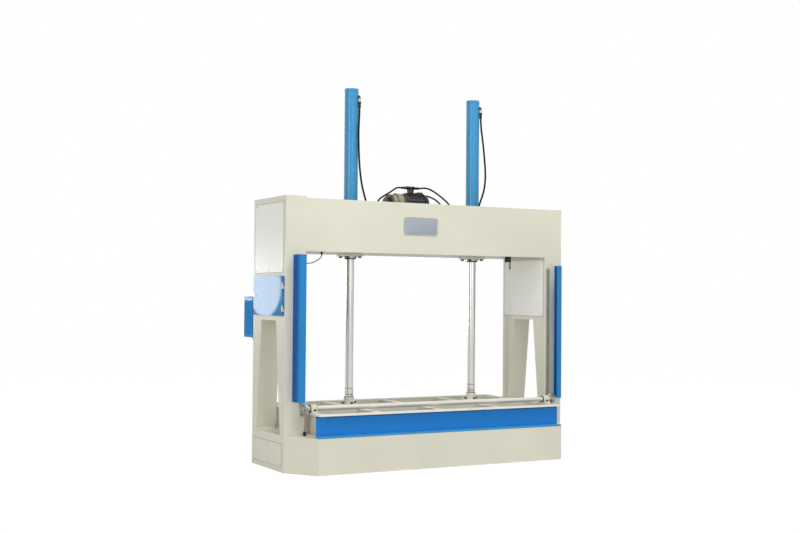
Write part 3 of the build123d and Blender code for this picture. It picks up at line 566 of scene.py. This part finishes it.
def rounded_outline(half_x, half_z, radius, steps=6):
    """The corners of a rounded rectangle, as (x, z) round its centre."""
    points = []
    for quarter, (sign_x, sign_z) in enumerate(((1, 1), (-1, 1), (-1, -1), (1, -1))):
        for step in range(steps + 1):
            angle = math.pi / 2 * (quarter + step / steps)
            points.append((
                sign_x * (half_x - radius) + radius * math.cos(angle),
                sign_z * (half_z - radius) + radius * math.sin(angle),
            ))
    return points


def slab(bm, face, centre, half, radius, levels):
    """A plate on a face that looks along -Y, built up from (inset, rise) levels of one outline."""
    rings = []
    for inset, rise in levels:
        outline = rounded_outline(half[0] - inset, half[1] - inset, radius - inset / 2)
        rings.append([bm.verts.new((centre[0] + x, face - rise, centre[1] + z)) for x, z in outline])
    for lower, upper in zip(rings, rings[1:]):
        for index, corner in enumerate(lower):
            after = (index + 1) % len(lower)
            bm.faces.new((corner, lower[after], upper[after], upper[index]))
    bm.faces.new(rings[0])
    bm.faces.new(list(reversed(rings[-1])))


def piece(name, build, finish, body):
    """One detail object: built, given its finish and set to ride on its body."""
    bm = bmesh.new()
    build(bm)
    bmesh.ops.recalc_face_normals(bm, faces=bm.faces)
    mesh = bpy.data.meshes.new(name)
    bm.to_mesh(mesh)
    bm.free()
    for polygon in mesh.polygons:
        polygon.use_smooth = True
    mesh.set_sharp_from_angle(angle=smooth_below)
    mesh.materials.append(finish)
    made = bpy.data.objects.new(name, mesh)
    scene.collection.objects.link(made)
    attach(made, body)
    return made


# Hoses and cable: the same routes as their solids, in metres

cylinder_hose = 0.018
pack_hose = 0.016
cable_size = 0.008

routes = {
    "left_hose": (cylinder_hose, (
        (-0.604, -0.061, 3.290), (-0.604, -0.061, 3.170), (-0.616, -0.069, 3.042), (-0.613, -0.069, 2.860),
        (-0.601, -0.068, 2.680), (-0.578, -0.067, 2.530), (-0.541, -0.071, 2.400), (-0.509, -0.076, 2.295),
        (-0.491, -0.080, 2.198), (-0.491, -0.080, 2.110),
    )),
    "right_hose": (cylinder_hose, (
        (0.706, -0.061, 3.290), (0.706, -0.061, 3.177), (0.729, -0.069, 3.009), (0.746, -0.075, 2.832),
        (0.755, -0.080, 2.683), (0.743, -0.080, 2.560), (0.716, -0.077, 2.472), (0.682, -0.079, 2.395),
        (0.656, -0.089, 2.310), (0.645, -0.096, 2.215), (0.645, -0.096, 2.120),
    )),
    "feed_hose": (pack_hose, (
        (-0.455, -0.125, 2.290), (-0.455, -0.125, 2.350), (-0.430, -0.122, 2.400), (-0.375, -0.116, 2.436),
        (-0.310, -0.108, 2.470), (-0.246, -0.076, 2.505), (-0.190, -0.028, 2.528), (-0.130, 0.0, 2.532),
        (-0.068, 0.0, 2.532),
    )),
    "return_hose": (pack_hose, (
        (0.006, 0.0, 2.532), (0.066, 0.0, 2.532), (0.134, 0.0, 2.543), (0.208, 0.0, 2.521),
        (0.290, 0.0, 2.474), (0.358, 0.0, 2.427), (0.414, 0.0, 2.378), (0.438, 0.0, 2.320),
        (0.438, 0.0, 2.250),
    )),
    "drain_hose": (pack_hose, (
        (0.030, 0.170, 2.440), (0.090, 0.170, 2.440), (0.158, 0.168, 2.468), (0.232, 0.167, 2.484),
        (0.305, 0.166, 2.466), (0.370, 0.163, 2.430), (0.414, 0.160, 2.382), (0.426, 0.160, 2.322),
        (0.426, 0.160, 2.260),
    )),
    "switch_cable": (cable_size, (
        (-1.080, -0.296, 1.886), (-1.080, -0.296, 1.868), (-1.088, -0.301, 1.854), (-1.106, -0.313, 1.841),
        (-1.135, -0.332, 1.825), (-1.174, -0.356, 1.809), (-1.216, -0.381, 1.798), (-1.258, -0.402, 1.794),
        (-1.300, -0.402, 1.794),
    )),
}
crimp_nut_share = 3.0
crimp_nut_height = 0.014
crimp_start = 0.012
crimp_end = 0.056
crimp_bands = 3
band_start = 0.015
band_pitch = 0.015
band_width = 0.008
groove = (0.005, 0.002)
band_wall = 0.0038
groove_wall = 0.0026
sleeve_profile = ((1.9, 0.0), (1.9, 0.004), (1.6, 0.006), (1.5, 0.012), (1.1, 0.020))


def crimp(bm, point, toward, radius):
    """A swaged hose end: a six-sided nut and a sleeve with three pressed bands."""
    place = place_at(point, Vector(toward) - Vector(point))
    hexagon(bm, crimp_nut_share * radius, crimp_nut_height, place)
    outer = radius + band_wall
    waist = radius + groove_wall
    profile = [(waist, crimp_start)]
    for band in range(crimp_bands):
        low = band_start + band * band_pitch
        if band:
            profile += [(waist, low - back) for back in groove]
        profile += [(outer, low), (outer, low + band_width)]
    profile.append((radius, crimp_end))
    lathe(bm, profile, place, steps=20)


def sleeve(bm, point, toward, radius):
    """A short tapered rubber sleeve where the thin cable leaves its gland."""
    place = place_at(point, Vector(toward) - Vector(point))
    lathe(bm, tuple((share * radius, height) for share, height in sleeve_profile), place, steps=16)


def make_cord(name, diameter, points):
    curve = bpy.data.curves.new(name + "_line", "CURVE")
    curve.dimensions = "3D"
    curve.bevel_depth = diameter / 2
    curve.bevel_resolution = 5
    curve.resolution_u = 10
    curve.use_fill_caps = True
    spline = curve.splines.new("NURBS")
    spline.points.add(len(points) - 1)
    for control, point in zip(spline.points, points):
        control.co = (*point, 1.0)
    spline.order_u = 3
    spline.use_endpoint_u = True
    cord = bpy.data.objects.new(name + "_line", curve)
    scene.collection.objects.link(cord)
    curve.materials.append(finishes["hose_rubber"])
    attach(cord, "frame")
    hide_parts(name)
    fitting = sleeve if diameter == cable_size else crimp
    slot = "black_plastic" if diameter == cable_size else "black_bolt"

    def build(bm):
        fitting(bm, points[0], points[1], diameter / 2)
        fitting(bm, points[-1], points[-2], diameter / 2)

    ends = piece(name + "_ends", build, finishes[slot], "frame")


for cord_name, (cord_diameter, cord_points) in routes.items():
    make_cord(cord_name, cord_diameter, cord_points)


# Detail pieces: columns, beam and base

column_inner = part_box("column_right")[0].x
column_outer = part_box("column_right")[1].x
column_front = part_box("column_right")[0].y
base_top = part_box("base_frame")[1].z
cover_sheet = 0.003
outer_covers = ((1.715, 2.325), (0.047, 0.242))
outer_cover_half = 0.315
inner_cover = (1.335, 1.880)
inner_cover_half = 0.335
fold_seam_y = 0.283
fold_seam_rise = 0.002
cover_screw_inset = 0.016
cover_screw_radius = 0.007
outer_screw_height = 0.004
inner_screw_height = 0.0035


def cover_seam(bm, x, out, half, low, high):
    y = half + seam_width
    seam(bm, x, out, (-y, low - seam_width), (y, high + seam_width))


def cover_seams(bm):
    for side in sides:
        for low, high in outer_covers:
            cover_seam(bm, side * column_outer, side, outer_cover_half, low, high)
        cover_seam(bm, side * column_inner, -side, inner_cover_half, *inner_cover)
        fold_low = (fold_seam_y, base_top + fold_seam_rise)
        fold_high = (fold_seam_y + seam_width, inner_cover[0] - seam_width)
        strip(bm, side * column_inner, -side, fold_low, fold_high)


def cover_screws(bm):
    for side in sides:
        y_reach = outer_cover_half - cover_screw_inset
        for low, high in outer_covers:
            for y in (-y_reach, 0.0, y_reach):
                for z in (low + cover_screw_inset, high - cover_screw_inset):
                    place = place_at((side * (column_outer + cover_sheet), y, z), (side, 0.0, 0.0))
                    socket_screw(bm, cover_screw_radius, outer_screw_height, place)
        y_reach = inner_cover_half - cover_screw_inset
        for y in (-y_reach, y_reach):
            for z in (inner_cover[0] + cover_screw_inset, inner_cover[1] - cover_screw_inset):
                place = place_at((side * (column_inner - cover_sheet), y, z), (-side, 0.0, 0.0))
                socket_screw(bm, cover_screw_radius, inner_screw_height, place)


beam_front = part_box("beam_front_plate")[0].y
plate_centre = (-0.118, 2.151)
plate_half = (0.182, 0.082)
plate_corner = 0.030
rim_levels = ((0.0, 0.0), (0.0, 0.003), (0.0015, 0.005), (0.0085, 0.005), (0.010, 0.0035))
face_levels = ((0.0, 0.0005), (0.0, 0.0038), (0.001, 0.0044))
face_inset = 0.011
face_corner = 0.024
rivet_inset = 0.024
rivet_profile = ((0.0048, 0.0), (0.0048, 0.0008), (0.0040, 0.0022), (0.0020, 0.0030))


def plate_rim(bm):
    slab(bm, beam_front, plate_centre, plate_half, plate_corner, rim_levels)


def plate_face(bm):
    half = tuple(reach - face_inset for reach in plate_half)
    slab(bm, beam_front, plate_centre, half, face_corner, face_levels)


def plate_rivets(bm):
    y = beam_front - face_levels[-1][1]
    for sign_x in sides:
        for sign_z in sides:
            x = plate_centre[0] + sign_x * (plate_half[0] - rivet_inset)
            z = plate_centre[1] + sign_z * (plate_half[1] - rivet_inset)
            lathe(bm, rivet_profile, place_at((x, y, z), to_front), steps=16)


piece("cover_seams", cover_seams, gasket, "frame")
piece("cover_screws", cover_screws, finishes["machined_steel"], "frame")
piece("plate_rim", plate_rim, finishes["machined_steel"], "frame")
piece("plate_face", plate_face, plate_enamel, "frame")
piece("plate_rivets", plate_rivets, finishes["machined_steel"], "frame")


# Detail pieces: cylinders and rods

barrel_radius = 0.0635
cylinder_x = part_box("barrels")[1].x - barrel_radius
cylinder_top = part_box("barrels")[1].z
cylinder_places = [place_at((side * cylinder_x, 0.0, 0.0)) for side in sides]
round_steps = 40
beam_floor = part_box("beam_floor_plate")[1].z
weld_overlap = 0.001
foot_weld = (0.007, 0.008)
cap_weld = (0.0022, 0.006)
cap_weld_drop = 0.027
rod_radius = 0.0375
gland_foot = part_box("rod_glands")[0].z
wiper_gap = 0.0004
wiper_wall = 0.012
wiper_height = 0.009
hub_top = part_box("rod_feet")[1].z
hub_seal_radius = 0.0448
rod_mark_places = (0.619, 0.674)
rod_mark_rise = 0.0012
rod_mark_overlap = 0.0005
rod_ring_height = 0.004
foot_bolts = 4
foot_bolt_circle = 0.062
foot_flange_top = 0.5385
foot_washer = (0.008, 0.0152)
foot_washer_height = 0.0025


def barrel_welds(bm):
    inner = barrel_radius - weld_overlap
    cap_low = cylinder_top - cap_weld_drop
    for place in cylinder_places:
        wall, height = foot_weld
        ring(bm, inner, barrel_radius + wall, beam_floor, beam_floor + height, place, round_steps)
        wall, height = cap_weld
        ring(bm, inner, barrel_radius + wall, cap_low, cap_low + height, place, round_steps)


def rod_wipers(bm):
    inner, outer = rod_radius + wiper_gap, rod_radius + wiper_wall
    for place in cylinder_places:
        ring(bm, inner, outer, gland_foot - wiper_height, gland_foot, place, round_steps)


def rod_seals(bm):
    inner = rod_radius - rod_mark_overlap
    mark_radius = rod_radius + rod_mark_rise
    for place in cylinder_places:
        ring(bm, inner, hub_seal_radius, hub_top, hub_top + rod_ring_height, place, round_steps)
        for low in rod_mark_places:
            ring(bm, inner, mark_radius, low, low + rod_ring_height, place, round_steps)


def foot_washers(bm):
    for side in sides:
        for bolt in range(foot_bolts):
            angle = 2 * math.pi * bolt / foot_bolts
            x = side * cylinder_x + foot_bolt_circle * math.cos(angle)
            y = foot_bolt_circle * math.sin(angle)
            place = place_at((x, y, foot_flange_top))
            ring(bm, *foot_washer, 0.0, foot_washer_height, place, steps=20)


piece("barrel_welds", barrel_welds, finishes["cylinder_blue"], "frame")
piece("rod_wipers", rod_wipers, finishes["black_plastic"], "frame")
piece("rod_seals", rod_seals, finishes["black_plastic"], "platen")
piece("foot_washers", foot_washers, finishes["black_bolt"], "platen")


# Detail pieces: synchronising shaft

shaft_low, shaft_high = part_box("sync_shaft")
shaft_y = (shaft_low.y + shaft_high.y) / 2
shaft_z = (shaft_low.z + shaft_high.z) / 2
shaft_end = shaft_high.x
shaft_radius = 0.021
block_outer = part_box("bearing_blocks")[1].x
block_width = 0.056
block_step_top = 0.5285
shaft_seal_gap = 0.0004
shaft_seal_radius = 0.0315
shaft_seal_width = 0.004
block_bolt_reach = 0.046
block_washer = (0.006, 0.0128)
block_washer_height = 0.002
cap_profile = ((0.027, 0.0), (0.027, 0.003), (0.0255, 0.0045), (0.014, 0.0045))
cap_nut_across = 0.019
cap_nut_height = 0.0085
cap_nut_low = 0.004


def shaft_seals(bm):
    place = place_at((0.0, shaft_y, shaft_z), along_x)
    for side in sides:
        for x, out in ((block_outer - block_width, -1), (block_outer, 1)):
            low, high = sorted((side * x, side * (x + out * shaft_seal_width)))
            ring(bm, shaft_radius + shaft_seal_gap, shaft_seal_radius, low, high, place)


def block_washers(bm):
    x = block_outer - block_width / 2
    for side in sides:
        for step in sides:
            place = place_at((side * x, shaft_y + step * block_bolt_reach, block_step_top))
            ring(bm, *block_washer, 0.0, block_washer_height, place, steps=20)


def shaft_caps(bm):
    for side in sides:
        place = place_at((side * shaft_end, shaft_y, shaft_z), (side, 0.0, 0.0))
        lathe(bm, cap_profile, place, steps=32)
        hexagon(bm, cap_nut_across, cap_nut_height, place @ Matrix.Translation((0.0, 0.0, cap_nut_low)))


piece("shaft_seals", shaft_seals, finishes["black_plastic"], "platen")
piece("block_washers", block_washers, finishes["black_bolt"], "platen")
piece("shaft_caps", shaft_caps, finishes["machined_steel"], "sync_shaft")


# Detail pieces: platen welds, and the rubber stops beside the platen's ends

member_half = 0.035
member_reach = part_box("platen_cross_members")[1].x - member_half
member_places = (-member_reach, 0.0, member_reach)
member_low = 0.330
member_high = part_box("platen_cross_members")[1].z
spine_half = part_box("platen_spine")[1].y
web_inner = 0.566
platen_bead = 0.005
bead_off_plate = 0.002
bead_off_member = 0.001
stop_clearance = 0.0025
stop_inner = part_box("platen_end_channels")[1].x + stop_clearance
stop_width = 0.0195
stop_depth = 0.024
stop_gap = 0.002
stop_top = 0.3440
stop_sink = 0.0002
stop_edge = 0.003
stop_screw = (0.005, 0.003)


def platen_welds(bm):
    for x in member_places:
        for side in sides:
            for y, out in ((spine_half, 1), (web_inner, -1)):
                near = side * (y + out * bead_off_plate)
                for edge in sides:
                    corner = x + edge * (member_half + bead_off_member)
                    bead(bm, (corner, near, member_low), (corner, near, member_high), platen_bead)
                start = (x - member_half, near, member_high)
                bead(bm, start, (x + member_half, near, member_high), platen_bead)


def platen_stops(bm):
    y_high = column_front - stop_gap
    y_low = y_high - stop_depth
    for side in sides:
        x_low, x_high = sorted((side * stop_inner, side * (stop_inner + stop_width)))
        box(bm, (x_low, y_low, base_top - stop_sink), (x_high, y_high, stop_top), stop_edge)
        middle = ((x_low + x_high) / 2, (y_low + y_high) / 2, stop_top)
        socket_screw(bm, *stop_screw, place_at(middle))


piece("platen_welds", platen_welds, finishes["cream_paint"], "platen")
piece("platen_stops", platen_stops, finishes["black_plastic"], "frame")


# Detail pieces: cabinet and control box

door_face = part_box("cabinet_door")[0].x
lock_place = (0.272, 1.512)
lock_profile = (
    (0.017, 0.0), (0.017, 0.0015), (0.0155, 0.003), (0.0125, 0.003), (0.012, 0.0055), (0.006, 0.0055),
    (0.0055, 0.003),
)
lock_bar_half = (0.0015, 0.005)
lock_bar_rise = (0.0052, 0.002)
lock_bar_edge = 0.0005
box_low, box_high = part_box("control_box")
lid_inset = 0.010
lid_strip_width = 0.003
lid_strip_rise = 0.0014
lid_strip_edge = 0.0008 / 3
box_screw_inset = 0.020
box_screw = (0.005, 0.003)
gland_from_corner = (0.060, 0.103)
gland_profile = (
    (0.017, 0.0), (0.017, 0.008), (0.015, 0.009), (0.015, 0.018), (0.012, 0.024), (0.008, 0.026),
    (0.0075, 0.012),
)


def door_lock(bm):
    y, z = lock_place
    half_y, half_z = lock_bar_half
    rise, root = lock_bar_rise
    lathe(bm, lock_profile, place_at((door_face, y, z), to_left), steps=28)
    low = (door_face - rise, y - half_y, z - half_z)
    box(bm, low, (door_face - root, y + half_y, z + half_z), lock_bar_edge)


def box_lid(bm):
    corner = (box_low.y + lid_inset, box_low.z + lid_inset)
    opposite = (box_high.y - lid_inset, box_high.z - lid_inset)
    seam(bm, box_low.x, -1, corner, opposite, lid_strip_width, lid_strip_rise, lid_strip_edge)


def box_screws(bm):
    for y in (box_low.y + box_screw_inset, box_high.y - box_screw_inset):
        for z in (box_low.z + box_screw_inset, box_high.z - box_screw_inset):
            socket_screw(bm, *box_screw, place_at((box_low.x, y, z), to_left))


def box_gland(bm):
    x, y = box_low.x + gland_from_corner[0], box_low.y + gland_from_corner[1]
    lathe(bm, gland_profile, place_at((x, y, box_low.z), downward), steps=24)


piece("door_lock", door_lock, finishes["machined_steel"], "cabinet_door")
piece("box_lid", box_lid, gasket, "frame")
piece("box_screws", box_screws, finishes["machined_steel"], "frame")
piece("box_gland", box_gland, finishes["black_plastic"], "frame")


# Detail pieces: power pack

terminals_x = 0.057
terminals_half = (0.023, 0.036)
terminals_z = (2.468, 2.490)
terminals_edge = 0.003
terminals_overhang = 0.002
terminals_lid_z = (2.4885, 2.493)
terminals_lid_edge = 0.0015
terminals_screw_half = (0.017, 0.030)
terminals_screw = (0.004, 0.003)
junction_x = -0.031
junction_half = (0.026, 0.022)
junction_z = (2.480, 2.516)
junction_edge = 0.004
junction_nut = (0.030, 0.010)
junction_nut_z = 2.515
tank_low, tank_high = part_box("oil_tank")
tank_lid = tank_high.z
tank_middle = (tank_low.x + tank_high.x) / 2
filler_place = (-0.315, 0.130)
filler_neck = ((0.036, 0.0), (0.036, 0.005), (0.030, 0.007), (0.026, 0.007), (0.026, 0.016))
filler_cap = ((0.029, 0.016), (0.031, 0.019), (0.031, 0.040), (0.028, 0.046), (0.012, 0.048))
tank_face = -0.200
gauge_x = 0.245
gauge_half = 0.013
gauge_depth = 0.009
gauge_z = (2.010, 2.150)
gauge_edge = 0.003
gauge_screw_inset = 0.012
gauge_screw = (0.007, 0.004)
tank_bolt_inset = 0.020
tank_bolt_inner = 0.112
tank_washer = (0.005, 0.010)
tank_washer_height = 0.0016
tank_bolt_head = (0.013, 0.007)


def upright_box(bm, x, half, heights, edge):
    """A box with its edges broken, centred on (x, 0)."""
    box(bm, (x - half[0], -half[1], heights[0]), (x + half[0], half[1], heights[1]), edge)


def motor_terminals(bm):
    upright_box(bm, terminals_x, terminals_half, terminals_z, terminals_edge)
    lid_half = tuple(reach + terminals_overhang for reach in terminals_half)
    upright_box(bm, terminals_x, lid_half, terminals_lid_z, terminals_lid_edge)
    for sign_x in sides:
        for sign_y in sides:
            x = terminals_x + sign_x * terminals_screw_half[0]
            y = sign_y * terminals_screw_half[1]
            socket_screw(bm, *terminals_screw, place_at((x, y, terminals_lid_z[1])))


def junction_block(bm):
    upright_box(bm, junction_x, junction_half, junction_z, junction_edge)
    hexagon(bm, *junction_nut, place_at((junction_x, 0.0, junction_nut_z)))


def tank_filler(bm):
    place = place_at((*filler_place, tank_lid))
    lathe(bm, filler_neck, place, steps=32)
    lathe(bm, filler_cap, place, steps=14)


def tank_gauge(bm):
    front = tank_face - gauge_depth
    low, high = gauge_z
    box(bm, (gauge_x - gauge_half, front, low), (gauge_x + gauge_half, tank_face, high), gauge_edge)
    for z in (low + gauge_screw_inset, high - gauge_screw_inset):
        socket_screw(bm, *gauge_screw, place_at((gauge_x, front, z), to_front))


def tank_bolts(bm):
    for x in (
        tank_low.x + tank_bolt_inset, tank_middle - tank_bolt_inner,
        tank_middle + tank_bolt_inner, tank_high.x - tank_bolt_inset,
    ):
        for y in (tank_low.y + tank_bolt_inset, tank_high.y - tank_bolt_inset):
            place = place_at((x, y, tank_lid))
            ring(bm, *tank_washer, 0.0, tank_washer_height, place, steps=16)
            hexagon(bm, *tank_bolt_head, place)


piece("motor_terminals", motor_terminals, finishes["motor_black"], "frame")
piece("junction_block", junction_block, finishes["motor_black"], "frame")
piece("tank_filler", tank_filler, finishes["black_plastic"], "frame")
piece("tank_gauge", tank_gauge, finishes["grey_plastic"], "frame")
piece("tank_bolts", tank_bolts, finishes["black_bolt"], "frame")


# Floor, light and background

white = (1.0, 1.0, 1.0, 1.0)
floor_shades = ((0.80, 0.80, 0.79), (0.84, 0.84, 0.83))


def seen_straight(tree):
    """1 for rays that show the background itself: camera, glossy and transmission rays."""
    path = tree.nodes.new("ShaderNodeLightPath")
    last = path.outputs["Is Camera Ray"]
    for kind in ("Is Glossy Ray", "Is Transmission Ray"):
        larger = tree.nodes.new("ShaderNodeMath")
        larger.operation = "MAXIMUM"
        tree.links.new(last, larger.inputs[0])
        tree.links.new(path.outputs[kind], larger.inputs[1])
        last = larger.outputs["Value"]
    return last


def make_floor(half, white_share, glow_strength):
    """A pale floor that shows mostly white and keeps the object's shadow."""
    mesh = bpy.data.meshes.new("floor")
    corners = ((-half, -half, 0), (half, -half, 0), (half, half, 0), (-half, half, 0))
    mesh.from_pydata(corners, [], [(0, 1, 2, 3)])
    floor = bpy.data.objects.new("floor", mesh)
    scene.collection.objects.link(floor)
    finish = Finish("pale_floor")
    mottle = finish.spread(finish.noise(scale=1.2, detail=5.0))
    finish.colour(finish.blend(mottle, *floor_shades))
    finish.fix(Roughness=0.9, Specular_IOR_Level=0.0)
    glow = finish.add("ShaderNodeEmission")
    glow.inputs["Strength"].default_value = glow_strength
    share = finish.add("ShaderNodeMath")
    share.operation = "MULTIPLY"
    share.inputs[1].default_value = white_share
    finish.link(seen_straight(finish.tree), share.inputs[0])
    mix = finish.add("ShaderNodeMixShader")
    finish.link(share.outputs["Value"], mix.inputs["Fac"])
    finish.link(finish.shader.outputs["BSDF"], mix.inputs[1])
    finish.link(glow.outputs["Emission"], mix.inputs[2])
    finish.link(mix.outputs["Shader"], finish.out.inputs["Surface"])
    mesh.materials.append(finish.material)


def make_world(soft_light):
    """An even soft light, with white behind the object."""
    world = bpy.data.worlds.new("studio")
    world.use_nodes = True
    tree = world.node_tree
    tree.nodes.clear()
    out = tree.nodes.new("ShaderNodeOutputWorld")
    mix = tree.nodes.new("ShaderNodeMixShader")
    tree.links.new(seen_straight(tree), mix.inputs["Fac"])
    for index, strength in ((1, soft_light), (2, 1.0)):
        light = tree.nodes.new("ShaderNodeBackground")
        light.inputs["Color"].default_value = white
        light.inputs["Strength"].default_value = strength
        tree.links.new(light.outputs["Background"], mix.inputs[index])
    tree.links.new(mix.outputs["Shader"], out.inputs["Surface"])
    scene.world = world


def make_lamp(name, place, target, size, power, shape="RECTANGLE"):
    data = bpy.data.lights.new(name, "AREA")
    data.shape = shape
    data.size, data.size_y = size
    data.energy = power
    lamp = bpy.data.objects.new(name, data)
    lamp.location = place
    lamp.rotation_euler = (Vector(target) - Vector(place)).to_track_quat("-Z", "Y").to_euler()
    lamp.visible_camera = False
    scene.collection.objects.link(lamp)


make_floor(half=40.0, white_share=0.90, glow_strength=1.07)
make_world(soft_light=0.40)
make_lamp("top_lamp", place=(0.0, -5.0, 9.2), target=(0.0, -0.3, 0.6), size=(6.0, 4.0), power=500.0)
make_lamp("front_lamp", place=(-1.6, -10.0, 3.4), target=(0.0, 0.0, 1.3), size=(3.0, 4.2), power=75.0)
make_lamp("left_lamp", place=(-9.0, -5.0, 3.5), target=(-1.0, 0.0, 1.3), size=(3.0, 4.0), power=160.0)
make_lamp(
    "door_lamp", place=(-3.80, 5.7, 1.62), target=(-1.47, 0.0, 1.60), size=(0.44, 0.82), power=7.8,
    shape="ELLIPSE",
)
make_lamp("box_lamp", place=(-3.47, 5.7, 1.62), target=(-1.44, 0.5, 1.50), size=(0.20, 0.36), power=7.5)
make_lamp("cover_lamp", place=(-3.84, 5.7, 3.05), target=(-1.45, 0.0, 2.15), size=(0.75, 1.00), power=5.0)
make_lamp("inner_lamp", place=(-2.67, 5.7, 1.65), target=(1.26, 0.0, 1.60), size=(1.00, 1.10), power=30.0)

scene.view_settings.view_transform = "Standard"
